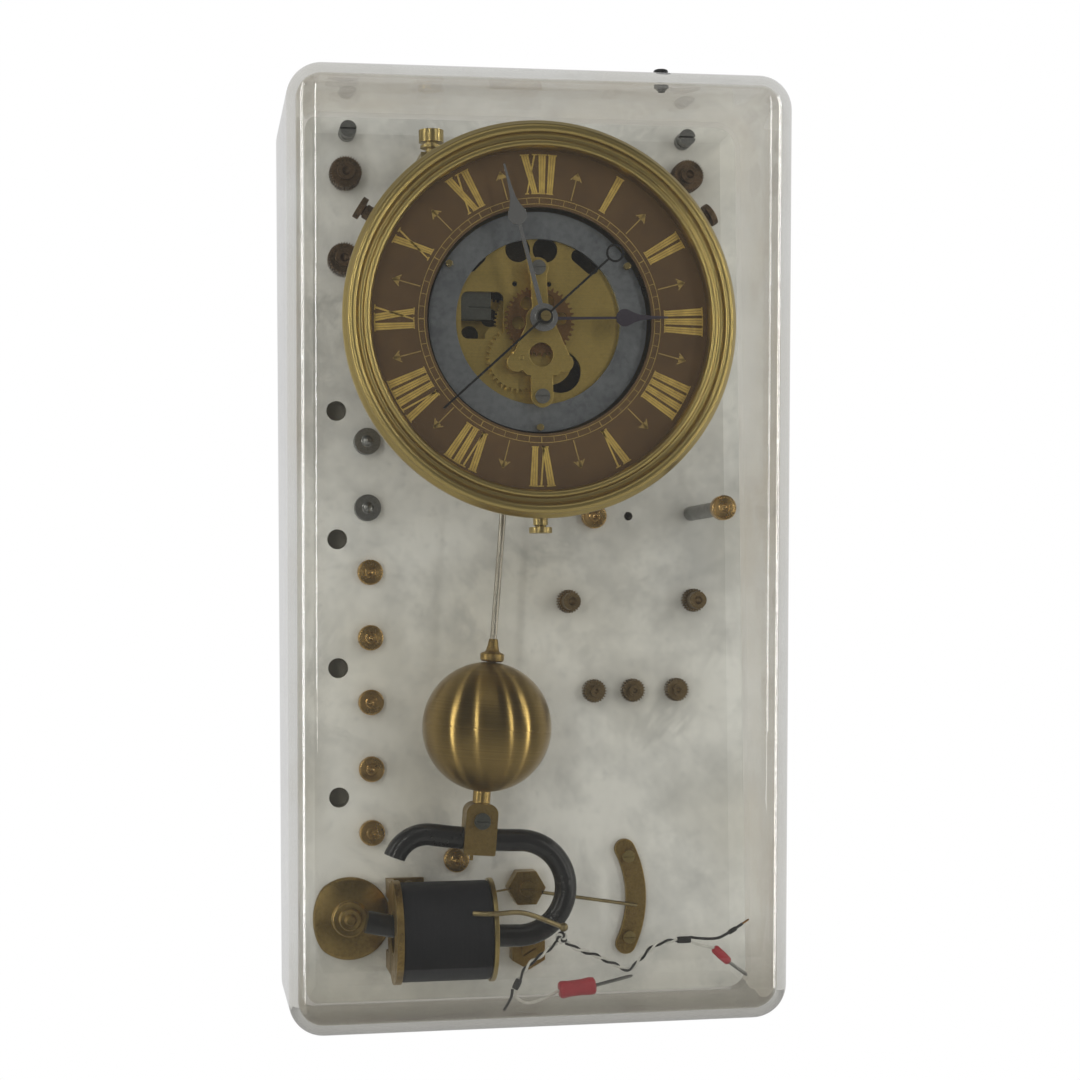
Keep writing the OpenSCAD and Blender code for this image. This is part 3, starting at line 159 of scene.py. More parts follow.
class Effects:
    """Node groups that more than one finish uses."""

    made: dict[str, bpy.types.NodeTree] = {}

    @classmethod
    def start(cls, name: str, inputs: dict[str, str], outputs: dict[str, str]
              ) -> tuple[bpy.types.NodeTree, Wiring, dict[str, Socket],
                         bpy.types.Node]:
        """Starts a group with named sockets.

        Args:
            name: The group's name.
            inputs: Socket kinds by input name.
            outputs: Socket kinds by output name.

        Returns:
            The tree, its wiring, the inputs' sockets by name and the output node.
        """
        tree = bpy.data.node_groups.new(name, "ShaderNodeTree")
        wiring = Wiring(tree)
        for label, kind in inputs.items():
            tree.interface.new_socket(name=label, in_out="INPUT", socket_type="NodeSocket" + kind)
        for label, kind in outputs.items():
            tree.interface.new_socket(name=label, in_out="OUTPUT", socket_type="NodeSocket" + kind)
        entry = tree.nodes.new("NodeGroupInput")
        leave = tree.nodes.new("NodeGroupOutput")
        cls.made[name] = tree
        return tree, wiring, {label: entry.outputs[label] for label in inputs}, leave

    @classmethod
    def patina(cls) -> bpy.types.NodeTree:
        """Gives the group that clouds a metal or paint from a bright to a dark tone."""
        if "patina" in cls.made:
            return cls.made["patina"]
        tree, wiring, given, leave = cls.start(
            "patina",
            {"Vector": "Vector", "Scale": "Float", "Amount": "Float", "Bright": "Color",
             "Dark": "Color", "Smooth": "Float", "Rough": "Float", "Wear": "Float"},
            {"Color": "Color", "Roughness": "Float", "Height": "Float"},
        )
        cloud = wiring.noise(given["Vector"], given["Scale"], 6.0, 0.62)
        fine = wiring.noise(given["Vector"], wiring.times(given["Scale"], 11.0), 3.0)
        cloud = wiring.ramp(cloud, 0.36, 0.66)
        speckle = wiring.ramp(fine, 0.42, 0.72, 0.0, 0.5)
        mask = wiring.times(wiring.math("ADD", cloud, speckle), given["Amount"])
        mask = wiring.math("MULTIPLY", mask, wiring.absent(given["Wear"]), clamp=True)
        wiring.feed(leave.inputs["Color"], wiring.blend(mask, given["Bright"], given["Dark"]))
        wiring.feed(leave.inputs["Roughness"],
                    wiring.ramp(mask, 0.0, 1.0, given["Smooth"], given["Rough"]))
        wiring.feed(leave.inputs["Height"], fine)
        return tree

    @classmethod
    def fine_lines(cls) -> bpy.types.NodeTree:
        """Gives the group that draws uneven tool marks along one measure."""
        if "fine_lines" in cls.made:
            return cls.made["fine_lines"]
        tree, wiring, given, leave = cls.start(
            "fine_lines", {"Measure": "Float", "Pitch": "Float"},
            {"Height": "Float", "Mask": "Float"},
        )
        along = wiring.math("DIVIDE", given["Measure"], given["Pitch"])
        lines = wiring.node("TexNoise", {"W": along, "Scale": 1.0, "Detail": 3.0},
                            noise_dimensions="1D").outputs[0]
        wiring.feed(leave.inputs["Height"], lines)
        wiring.feed(leave.inputs["Mask"], wiring.ramp(lines, 0.35, 0.65))
        return tree


# Finishes

def start_material(name: str) -> tuple[bpy.types.Material, Wiring, Socket]:
    """Starts a material.

    Args:
        name: The material's name.

    Returns:
        The material, its wiring and its Object coordinates.
    """
    material = bpy.data.materials.new(name)
    material.use_nodes = True
    wiring = Wiring(material.node_tree)
    return material, wiring, wiring.node("TexCoord").outputs["Object"]


class Grain(Enum):
    """How a metal's tool marks run."""

    PLAIN = "no marks"
    ROUND_FRONT = "rings round an axis that points to the front"
    ROUND_DROP = "rings round the pendulum's axis"
    ACROSS = "straight lines from side to side"


@dataclass(frozen=True)
class Clouded:
    """Surface that clouds from a bright to a dark tone, except on its worn edges."""

    name: str
    bright: Colour
    dark: Colour
    smooth: float = 0.25
    rough: float = 0.5
    amount: float = 0.7
    scale: float = 55.0

    def patina(self, wiring: Wiring, coords: Socket) -> bpy.types.Node:
        """Adds the clouds.

        Args:
            wiring: The material's wiring.
            coords: Object coordinates.

        Returns:
            The node with the clouds' colour, roughness and height.
        """
        wear = wiring.node("Attribute", attribute_name=Bench.WEAR).outputs["Fac"]
        return wiring.node("Group", {
            "Vector": coords, "Scale": self.scale, "Amount": self.amount,
            "Bright": rgba(self.bright), "Dark": rgba(self.dark), "Smooth": self.smooth,
            "Rough": self.rough, "Wear": wear,
        }, node_tree=Effects.patina())


@dataclass(frozen=True)
class Metal(Clouded):
    """Metal with clouds of tarnish and tool marks."""

    grain: Grain = Grain.PLAIN
    centre: Point = (0.0, 0.0, 0.0)
    pitch: float = 0.0006
    marks: float = 0.0
    anisotropic: float = 0.0
    metallic: float = 1.0
    bump: float = 0.12
    relief: float = 0.0004
    along_rings: float = 0.25

    def measure(self, wiring: Wiring, coords: Socket) -> Socket:
        """Gives the measure that the tool marks repeat along.

        Args:
            wiring: The material's wiring.
            coords: Object coordinates.

        Returns:
            The measure's socket, in metres.
        """
        moved = wiring.node("VectorMath", {0: coords, 1: self.centre}, operation="SUBTRACT")
        x, _, z = wiring.split(moved.outputs[0])
        if self.grain is Grain.ROUND_DROP:
            tilt = math.radians(Pendulum.swing)
            return wiring.math("ADD", wiring.times(x, math.sin(tilt)),
                               wiring.times(z, math.cos(tilt)))
        if self.grain is Grain.ACROSS:
            return z
        flat = wiring.node("CombineXYZ", {0: x, 1: z})
        return wiring.node("VectorMath", {0: flat.outputs[0]}, operation="LENGTH").outputs["Value"]

    def build(self) -> bpy.types.Material:
        """Makes the material.

        Returns:
            The new material.
        """
        material, wiring, coords = start_material("look_" + self.name)
        patina = self.patina(wiring, coords)
        colour, height = patina.outputs["Color"], patina.outputs["Height"]
        if self.grain is not Grain.PLAIN:
            lines = wiring.node("Group", {
                "Measure": self.measure(wiring, coords), "Pitch": self.pitch,
            }, node_tree=Effects.fine_lines())
            height = lines.outputs["Height"]
            shade = wiring.times(lines.outputs["Mask"], self.marks)
            colour = wiring.blend(shade, colour, rgba(self.dark))
        shader = wiring.node("BsdfPrincipled", {
            "Base Color": colour, "Roughness": patina.outputs["Roughness"],
            "Metallic": self.metallic, "Anisotropic": self.anisotropic,
            "Anisotropic Rotation": self.along_rings,
        })
        if self.bump:
            bump = wiring.node("Bump", {
                "Strength": self.bump, "Distance": self.relief, "Height": height,
            })
            wiring.feed(shader.inputs["Normal"], bump.outputs[0])
        if self.anisotropic:
            tangent = wiring.node("Tangent", direction_type="RADIAL",
                                  axis="Z" if self.grain is Grain.ROUND_DROP else "Y")
            wiring.feed(shader.inputs["Tangent"], tangent.outputs[0])
        wiring.node("OutputMaterial", {"Surface": shader.outputs[0]})
        return material


@dataclass(frozen=True)
class Coated(Clouded):
    """Painted, moulded or woven surface with a soft mottle."""

    smooth: float = 0.35
    amount: float = 0.6
    scale: float = 70.0
    sheen: float = 0.0
    bump: float = 0.1
    weave: float = 0.0
    specular: float = 0.5
    relief: float = 0.0003

    def build(self) -> bpy.types.Material:
        """Makes the material.

        Returns:
            The new material.
        """
        material, wiring, coords = start_material("look_" + self.name)
        patina = self.patina(wiring, coords)
        height = patina.outputs["Height"]
        if self.weave:
            height = wiring.node("TexVoronoi", {"Vector": coords, "Scale": self.weave}).outputs[0]
        bump = wiring.node("Bump", {
            "Strength": self.bump, "Distance": self.relief, "Height": height,
        })
        shader = wiring.node("BsdfPrincipled", {
            "Base Color": patina.outputs["Color"], "Roughness": patina.outputs["Roughness"],
            "Normal": bump.outputs[0], "Sheen Weight": self.sheen,
            "Specular IOR Level": self.specular,
        })
        wiring.node("OutputMaterial", {"Surface": shader.outputs[0]})
        return material


@dataclass(frozen=True)
class Marble:
    """Polished grey-white marble with soft veins, and painted shade on the walls of its sockets.
    """

    name: str = "marble"
    pale: Colour = (0.79, 0.785, 0.76)
    cloud: Colour = (0.53, 0.53, 0.52)
    vein: Colour = (0.27, 0.27, 0.265)
    stain: Colour = (0.66, 0.63, 0.55)
    # Painted shade: the colour the marble is darkened to in the hollows of its sockets.
    socket: Colour = (0.3, 0.28, 0.23)
    hole_x: float = 0.0955
    hole_y: Flat = (-0.0132, -0.0005)
    hole_z: float = 0.185

    def hole_shade_mask(self, wiring: Wiring, coords: Socket) -> Socket:
        """Gives 1 on the walls of the slab's holes, where shade is painted, and 0 on its outside.

        Args:
            wiring: The material's wiring.
            coords: Object coordinates.

        Returns:
            The mask's socket.
        """
        x, y, z = wiring.split(coords)
        behind = wiring.math("GREATER_THAN", y, self.hole_y[0])
        ahead = wiring.math("LESS_THAN", y, self.hole_y[1])
        near_x = wiring.math("LESS_THAN", wiring.math("ABSOLUTE", x), self.hole_x)
        near_z = wiring.math("LESS_THAN", wiring.math("ABSOLUTE", z), self.hole_z)
        return wiring.times(wiring.times(behind, ahead), wiring.times(near_x, near_z))

    def build(self) -> bpy.types.Material:
        """Makes the material.

        Returns:
            The new material.
        """
        material, wiring, coords = start_material("look_" + self.name)
        clouds = wiring.ramp(wiring.noise(coords, 16.0, 8.0, 0.68), 0.42, 0.62)
        wisps = wiring.node("TexNoise", {
            "Vector": coords, "Scale": 9.0, "Detail": 8.0, "Roughness": 0.65, "Distortion": 0.6,
        }).outputs[0]
        ridge = wiring.math("ABSOLUTE", wiring.math("SUBTRACT", wisps, 0.5))
        veins = wiring.ramp(ridge, 0.0, 0.05, 1.0, 0.0)
        patches = wiring.ramp(wiring.noise(coords, 11.0, 3.0), 0.46, 0.66)
        veins = wiring.times(wiring.times(veins, patches), 0.5)
        stains = wiring.ramp(wiring.noise(coords, 7.0, 2.0), 0.48, 0.7, 0.0, 0.7)
        grain = wiring.noise(coords, 260.0, 4.0, 0.7)
        specks = wiring.ramp(grain, 0.56, 0.76, 0.0, 0.5)
        colour = wiring.blend(clouds, rgba(self.pale), rgba(self.cloud))
        colour = wiring.blend(stains, colour, rgba(self.stain))
        colour = wiring.blend(veins, colour, rgba(self.vein))
        colour = wiring.blend(specks, colour, rgba(self.cloud))
        # Painted shade: the sockets' walls are darkened to the socket colour.
        colour = wiring.blend(self.hole_shade_mask(wiring, coords), colour, rgba(self.socket))
        bump = wiring.node("Bump", {"Strength": 0.04, "Distance": 0.0002, "Height": grain})
        shader = wiring.node("BsdfPrincipled", {
            "Base Color": colour, "Roughness": wiring.ramp(clouds, 0.0, 1.0, 0.3, 0.42),
            "Normal": bump.outputs[0],
        })
        wiring.node("OutputMaterial", {"Surface": shader.outputs[0]})
        return material


@dataclass(frozen=True)
class Acrylic:
    """Clear moulded plastic with a faint haze, which lets light in to what it covers, with painted
    shade towards its bottom.
    """

    name: str = "clear_acrylic"
    front: Colour = (0.96, 0.943, 0.893)
    side: Colour = (0.8, 0.785, 0.745)
    grime: Colour = (0.72, 0.675, 0.595)
    # Painted shade: the tint that the cover darkens to towards its bottom, where less light falls.
    foot: Colour = (0.52, 0.49, 0.42)
    shade: Colour = (0.93, 0.935, 0.92)
    clear: float = 0.994
    ior: float = 1.49
    flat_x: float = 0.092
    flat_z: float = 0.188
    edge: float = 0.015
    bottom_shade_z: Flat = (-0.2, -0.158)
    bottom_shade_share: float = 0.8

    def sides(self, wiring: Wiring, coords: Socket) -> Socket:
        """Gives 0 on the cover's flat front and 1 on its side walls.

        Args:
            wiring: The material's wiring.
            coords: Object coordinates.

        Returns:
            The mask's socket.
        """
        x, _, z = wiring.split(coords)
        return wiring.math("MAXIMUM", *(
            wiring.ramp(wiring.math("ABSOLUTE", place), flat, flat + self.edge)
            for place, flat in ((x, self.flat_x), (z, self.flat_z))
        ))

    def build(self) -> bpy.types.Material:
        """Makes the material.

        Returns:
            The new material.
        """
        material, wiring, coords = start_material("look_" + self.name)
        cloud = wiring.noise(coords, 14.0, 5.0, 0.65)
        smear = wiring.ramp(cloud, 0.4, 0.75, 0.0, 0.04)
        wall = wiring.blend(wiring.ramp(cloud, 0.42, 0.7), rgba(self.side), rgba(self.grime))
        tint = wiring.blend(self.sides(wiring, coords), rgba(self.front), wall)
        # Painted shade: the tint darkens to the foot colour towards the cover's bottom.
        low = wiring.ramp(wiring.split(coords)[2], *self.bottom_shade_z, self.bottom_shade_share, 0.0)
        tint = wiring.blend(low, tint, rgba(self.foot))
        shader = wiring.node("BsdfPrincipled", {
            "Base Color": tint, "Roughness": smear, "IOR": self.ior,
            "Transmission Weight": self.clear,
        })
        through = wiring.node("BsdfTransparent", {"Color": rgba(self.shade)})
        path = wiring.node("LightPath")
        mirrored = wiring.times(path.outputs["Is Glossy Ray"],
                                wiring.absent(path.outputs["Is Transmission Ray"]))
        lit = wiring.math("ADD", path.outputs["Is Shadow Ray"], path.outputs["Is Diffuse Ray"])
        passing = wiring.math("ADD", lit, mirrored, clamp=True)
        wiring.node("OutputMaterial", {"Surface": wiring.mix(passing, shader, through)})
        return material


class Finish(Enum):
    """Every finish on the clock."""

    MARBLE = Marble()
    ACRYLIC = Acrylic()
    KNOB = Coated("black_knob", (0.01, 0.01, 0.011), (0.02, 0.02, 0.02), 0.3, 0.45)
    BEZEL = Metal("bezel_brass", (0.5, 0.38, 0.135), (0.28, 0.205, 0.075), 0.31, 0.32, 0.08, 10.0,
                  Grain.ROUND_FRONT, (0.0, 0.0, 0.1), 0.0008, 0.08, bump=0.0)
    BOB = Metal("bob_brass", (0.34, 0.235, 0.08), (0.17, 0.112, 0.036), 0.28, 0.3, 0.3, 14.0,
                Grain.ROUND_DROP, (0.0, 0.0, 0.0), 0.0006, 0.3, 1.0, bump=0.03)
    TURNED = Metal("turned_brass", (0.5, 0.39, 0.16), (0.27, 0.19, 0.075), 0.26, 0.45, 0.6)
    AGED = Metal("aged_brass", (0.42, 0.29, 0.1), (0.18, 0.118, 0.042), 0.3, 0.5, 0.75, 90.0)
    TERMINAL = Metal("terminal_brass", (0.6, 0.4, 0.16), (0.32, 0.2, 0.08), 0.24, 0.36, 0.55, 90.0,
                     anisotropic=0.75, bump=0.0)
    DISC = Metal("disc_brass", (0.4, 0.28, 0.1), (0.16, 0.11, 0.042), 0.28, 0.42, 0.6, 60.0,
                 anisotropic=0.8, bump=0.0)
    OLIVE = Metal("lead_brass", (0.3, 0.24, 0.12), (0.16, 0.12, 0.06), 0.35, 0.5, 0.6, 120.0)
    DULL = Metal("dull_steel", (0.16, 0.165, 0.15), (0.08, 0.08, 0.072), 0.35, 0.5, 0.6, 110.0)
    ROD = Metal("rod_steel", (0.42, 0.39, 0.335), (0.25, 0.225, 0.185), 0.28, 0.42, 0.6, 110.0)
    KNURL = Metal("knurled_brass", (0.27, 0.19, 0.095), (0.11, 0.08, 0.042), 0.35, 0.55, 0.75,
                  120.0)
    DARK = Metal("dark_brass", (0.075, 0.058, 0.032), (0.03, 0.024, 0.015), 0.4, 0.6, 0.6, 70.0)
    PLATE = Metal("plate_brass", (0.7, 0.52, 0.16), (0.37, 0.265, 0.083), 0.3, 0.5, 0.55, 70.0,
                  Grain.ACROSS, (0.0, 0.0, 0.1), 0.0004, 0.3)
    BRONZE = Metal("dark_bronze", (0.2, 0.13, 0.075), (0.06, 0.045, 0.03), 0.35, 0.6, 0.8, 120.0)
    COPPER = Metal("copper", (0.31, 0.165, 0.06), (0.15, 0.078, 0.03), 0.3, 0.5, 0.6, 90.0)
    BROWN = Coated("dial_brown", (0.108, 0.062, 0.025), (0.075, 0.042, 0.017), 0.42, 0.55, 0.7,
                   45.0, bump=0.05, specular=0.2)
    GILT = Metal("gilt", (0.68, 0.48, 0.12), (0.37, 0.245, 0.065), 0.3, 0.45, 0.6, 220.0,
                 metallic=0.35)
    FAINT = Metal("worn_gilt", (0.47, 0.325, 0.095), (0.26, 0.175, 0.055), 0.4, 0.5, 0.7, 220.0,
                  metallic=0.35)
    ZINC = Metal("zinc", (0.26, 0.275, 0.295), (0.125, 0.135, 0.15), 0.34, 0.5, 0.85, 32.0,
                 metallic=0.75)
    BRIGHT = Metal("bright_steel", (0.62, 0.62, 0.64), (0.42, 0.42, 0.44), 0.22, 0.34, 0.35, 60.0,
                   bump=0.04)
    BLACKED = Metal("blacked_steel", (0.05, 0.05, 0.053), (0.028, 0.028, 0.028), 0.3, 0.45)
    GREY = Metal("grey_steel", (0.3, 0.3, 0.29), (0.15, 0.15, 0.145), 0.3, 0.5, 0.7, 110.0)
    BLUED = Metal("blued_steel", (0.15, 0.13, 0.175), (0.085, 0.075, 0.095), 0.28, 0.42, 0.5,
                  80.0, bump=0.05)
    MAGNET = Coated("magnet_black", (0.007, 0.007, 0.008), (0.013, 0.013, 0.013), 0.18, 0.3, 0.7,
                    60.0, bump=0.03, specular=0.4)
    WINDING = Coated("winding_black", (0.008, 0.009, 0.012), (0.015, 0.015, 0.018), 0.45, 0.6, 0.7,
                     60.0, bump=0.05, weave=1800.0, specular=0.12)
    WHITE_CLOTH = Coated("white_cloth", (0.62, 0.61, 0.58), (0.48, 0.47, 0.44), 0.7, 0.85, 0.5,
                         300.0, sheen=0.2, bump=0.4, weave=2600.0)
    BLACK_CLOTH = Coated("black_cloth", (0.018, 0.018, 0.019), (0.035, 0.034, 0.033), 0.7, 0.85,
                         0.5, 300.0, sheen=0.2, bump=0.4, weave=2600.0)
    TAPE = Coated("black_tape", (0.014, 0.014, 0.015), (0.03, 0.03, 0.03), 0.5, 0.6, 0.5, 200.0)
    SLEEVE = Coated("red_sleeve", (0.42, 0.03, 0.045), (0.3, 0.02, 0.03), 0.4, 0.5, 0.5, 200.0)

    def material(self) -> bpy.types.Material:
        """Gives the finish's material, made on first use."""
        if self not in MATERIALS:
            MATERIALS[self] = self.value.build()
        return MATERIALS[self]


Dressing = tuple[str, Finish, float]
MATERIALS: dict[Finish, bpy.types.Material] = {}


# Shapes

def from_front(x: float, z: float, depth: float) -> Matrix:
    """Gives the place of a shape drawn in millimetres as X across, Y up and Z out of the wall."""
    return (MILLIMETRES @ Matrix.Translation((x, -depth, z))
            @ Matrix.Rotation(QUARTER_TURN, 4, "X"))


def lathe(profile: Sequence[Flat], steps: int = 96, closed: bool = False) -> Shape:
    """Spins a profile about the Z axis.

    Args:
        profile: Radius and height of each point, in millimetres.
        steps: The number of steps in the full turn.
        closed: True if the last point joins the first.

    Returns:
        The new shape, with its faces pointing outwards.
    """
    shape = bmesh.new()
    points = [shape.verts.new((radius, 0.0, height)) for radius, height in profile]
    pairs = list(zip(points, points[1:])) + ([(points[-1], points[0])] if closed else [])
    lines = [shape.edges.new(pair) for pair in pairs]
    bmesh.ops.spin(shape, geom=points + lines, cent=(0, 0, 0), axis=(0, 0, 1), angle=FULL_TURN,
                   steps=steps, use_merge=True)
    bmesh.ops.remove_doubles(shape, verts=shape.verts, dist=0.0005)
    bmesh.ops.recalc_face_normals(shape, faces=shape.faces)
    return shape


def arc(centre: Flat, radius: float, start: float, end: float, steps: int) -> list[Flat]:
    """Gives the points of a round between two angles in degrees, both ends included."""
    turns = [math.radians(start + (end - start) * i / steps) for i in range(steps + 1)]
    return [(centre[0] + radius * math.cos(a), centre[1] + radius * math.sin(a)) for a in turns]


def smooth_route(route: Sequence[Point], steps: int) -> list[Vector]:
    """Runs a smooth curve through a route, as the CAD part does.

    Args:
        route: The route's points.
        steps: Steps between two points.

    Returns:
        The curve's points, both ends included.
    """
    points = [Vector(p) for p in route]
    last = len(points) - 1
    curve = []
    for i in range(last):
        a, b = points[max(i - 1, 0)], points[i]
        c, d = points[i + 1], points[min(i + 2, last)]
        for k in range(steps):
            t = k / steps
            curve.append(b + t / 2 * (c - a + t * (2 * a - 5 * b + 4 * c - d
                                                   + t * (3 * b - a - 3 * c + d))))
    return [*curve, points[last]]


def add_tube(shape: Shape, line: Sequence[Vector], radius: float, material: int = 0,
             sides: int = 4, cyclic: bool = False) -> None:
    """Adds a round tube along a line to a shape.

    Args:
        shape: The shape to add to.
        line: The tube's centre line, in millimetres.
        radius: The tube's radius, in millimetres.
        material: The material slot of its faces.
        sides: Steps in a quarter of the tube's round.
        cyclic: True if the line closes on itself.
    """
    curve = bpy.data.curves.new("tube_line", "CURVE")
    curve.dimensions = "3D"
    curve.bevel_depth = radius
    curve.bevel_resolution = sides
    curve.use_fill_caps = not cyclic
    spline = curve.splines.new("POLY")
    spline.points.add(len(line) - 1)
    spline.use_cyclic_u = cyclic
    for point, place in zip(spline.points, line):
        point.co = (*place, 1.0)
    holder = bpy.data.objects.new("tube_line", curve)
    mesh = bpy.data.meshes.new_from_object(holder)
    before = len(shape.faces)
    shape.from_mesh(mesh)
    shape.faces.ensure_lookup_table()
    added = shape.faces[before:]
    for face in added:
        face.material_index = material
    bmesh.ops.remove_doubles(shape, verts=list({v for f in added for v in f.verts}), dist=0.0005)
    bpy.data.objects.remove(holder)
    bpy.data.curves.remove(curve)
    bpy.data.meshes.remove(mesh)


def add_object(name: str, data: bpy.types.ID) -> bpy.types.Object:
    """Adds an object to the scene.

    Args:
        name: The object's name.
        data: Its mesh, lamp or camera.

    Returns:
        The new object.
    """
    made = bpy.data.objects.new(name, data)
    bpy.context.scene.collection.objects.link(made)
    return made


class Bench:
    """Turns shapes and CAD nodes into finished pieces on their bodies."""

    WEAR = "wear"
    WORN = 0.6
    SHARP = math.radians(32)
    bodies: dict[str, str] = {
        node: body for body, nodes in frame["record"]["behaviour"]["bodies"].items()
        for node in nodes
    }
    slots: dict[str, str] = {
        part["node"]: part["material_slot"] for part in frame["record"]["subparts"]
    }

    @classmethod
    def piece(cls, name: str, shape: Shape, place: Matrix,
              finishes: Sequence[Finish], body: str, slot: str,
              replaced: Sequence[str] = (), flat_first: bool = False) -> bpy.types.Object:
        """Makes a finished piece of a shape.

        Args:
            name: The piece's name.
            shape: The shape, which is used up.
            place: The matrix from the shape's millimetres to the frame.
            finishes: The finish of each material slot.
            body: The body that the piece rides on.
            slot: The record's material slot; not used.
            replaced: CAD nodes that the piece stands for.
            flat_first: True if large flat faces keep their own normals.

        Returns:
            The new object.
        """
        shape.transform(place)
        for edge in shape.edges:
            if edge.is_manifold and edge.calc_face_angle() > cls.SHARP:
                edge.smooth = False
        for face in shape.faces:
            face.smooth = True
        mesh = bpy.data.meshes.new(name)
        shape.to_mesh(mesh)
        shape.free()
        for finish in finishes:
            mesh.materials.append(finish.material())
        made = add_object(name, mesh)
        if flat_first:
            made.modifiers.new("even_normals", "WEIGHTED_NORMAL").keep_sharp = True
        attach(made, body)
        if replaced:
            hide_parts(*replaced)
        LOG.info("%s on %s, %d faces", name, body, len(mesh.polygons))
        return made

    @classmethod
    def dress(cls, node: str, finish: Finish, edge: float = 0.0) -> bpy.types.Object:
        """Gives a CAD node its finish, with broken edges where a width is given.

        Args:
            node: The node.
            finish: Its finish.
            edge: Width of the broken edges in millimetres, or 0 to keep the node itself.

        Returns:
            The node's object, or the piece that stands for it.
        """
        source = frame["nodes"][node]
        if not edge:
            source.data.materials.clear()
            source.data.materials.append(finish.material())
            LOG.info("%s keeps its CAD shape", node)
            return source
        shape = bmesh.new()
        shape.from_mesh(source.data)
        for layers in (shape.loops.layers.uv, shape.loops.layers.color):
            for layer in list(layers.values()):
                layers.remove(layer)
        bmesh.ops.remove_doubles(shape, verts=shape.verts, dist=1e-6)
        bmesh.ops.dissolve_limit(shape, angle_limit=math.radians(0.4), verts=shape.verts,
                                 edges=shape.edges)
        wear = shape.loops.layers.float.new(cls.WEAR)
        corners = [e for e in shape.edges if e.is_manifold and e.calc_face_angle() > cls.SHARP]
        broken = bmesh.ops.bevel(shape, geom=corners, offset=edge * MM, offset_type="OFFSET",
                                 affect="EDGES", segments=2, profile=0.5, material=-1,
                                 clamp_overlap=True)
        for face in broken["faces"]:
            for corner in face.loops:
                corner[wear] = cls.WORN
        for face in shape.faces:
            face.material_index = 0
        return cls.piece(node + "_finished", shape, Matrix.Identity(4), [finish],
                         cls.bodies[node], cls.slots[node], [node], flat_first=True)

    @classmethod
    def turn(cls, name: str, profile: Sequence[Flat], steps: int, place: Matrix, finish: Finish,
             node: str, closed: bool = False, extra: bool = False) -> None:
        """Turns a piece for a CAD node, on the node's body.

        Args:
            name: The piece's name.
            profile: Radius and height of each point, in millimetres.
            steps: The number of steps in the full turn.
            place: The matrix from the profile's millimetres to the frame.
            finish: The piece's finish.
            node: The CAD node.
            closed: True if the profile's last point joins the first.
            extra: True if another piece stands for the node already.
        """
        cls.piece(name, lathe(profile, steps, closed), place, [finish], cls.bodies[node],
                  cls.slots[node], () if extra else [node])

    @classmethod
    def dress_all(cls, dressings: Sequence[Dressing]) -> None:
        """Gives each CAD node in a list its finish and its edges' width."""
        for dressing in dressings:
            cls.dress(*dressing)


# Sub-assemblies

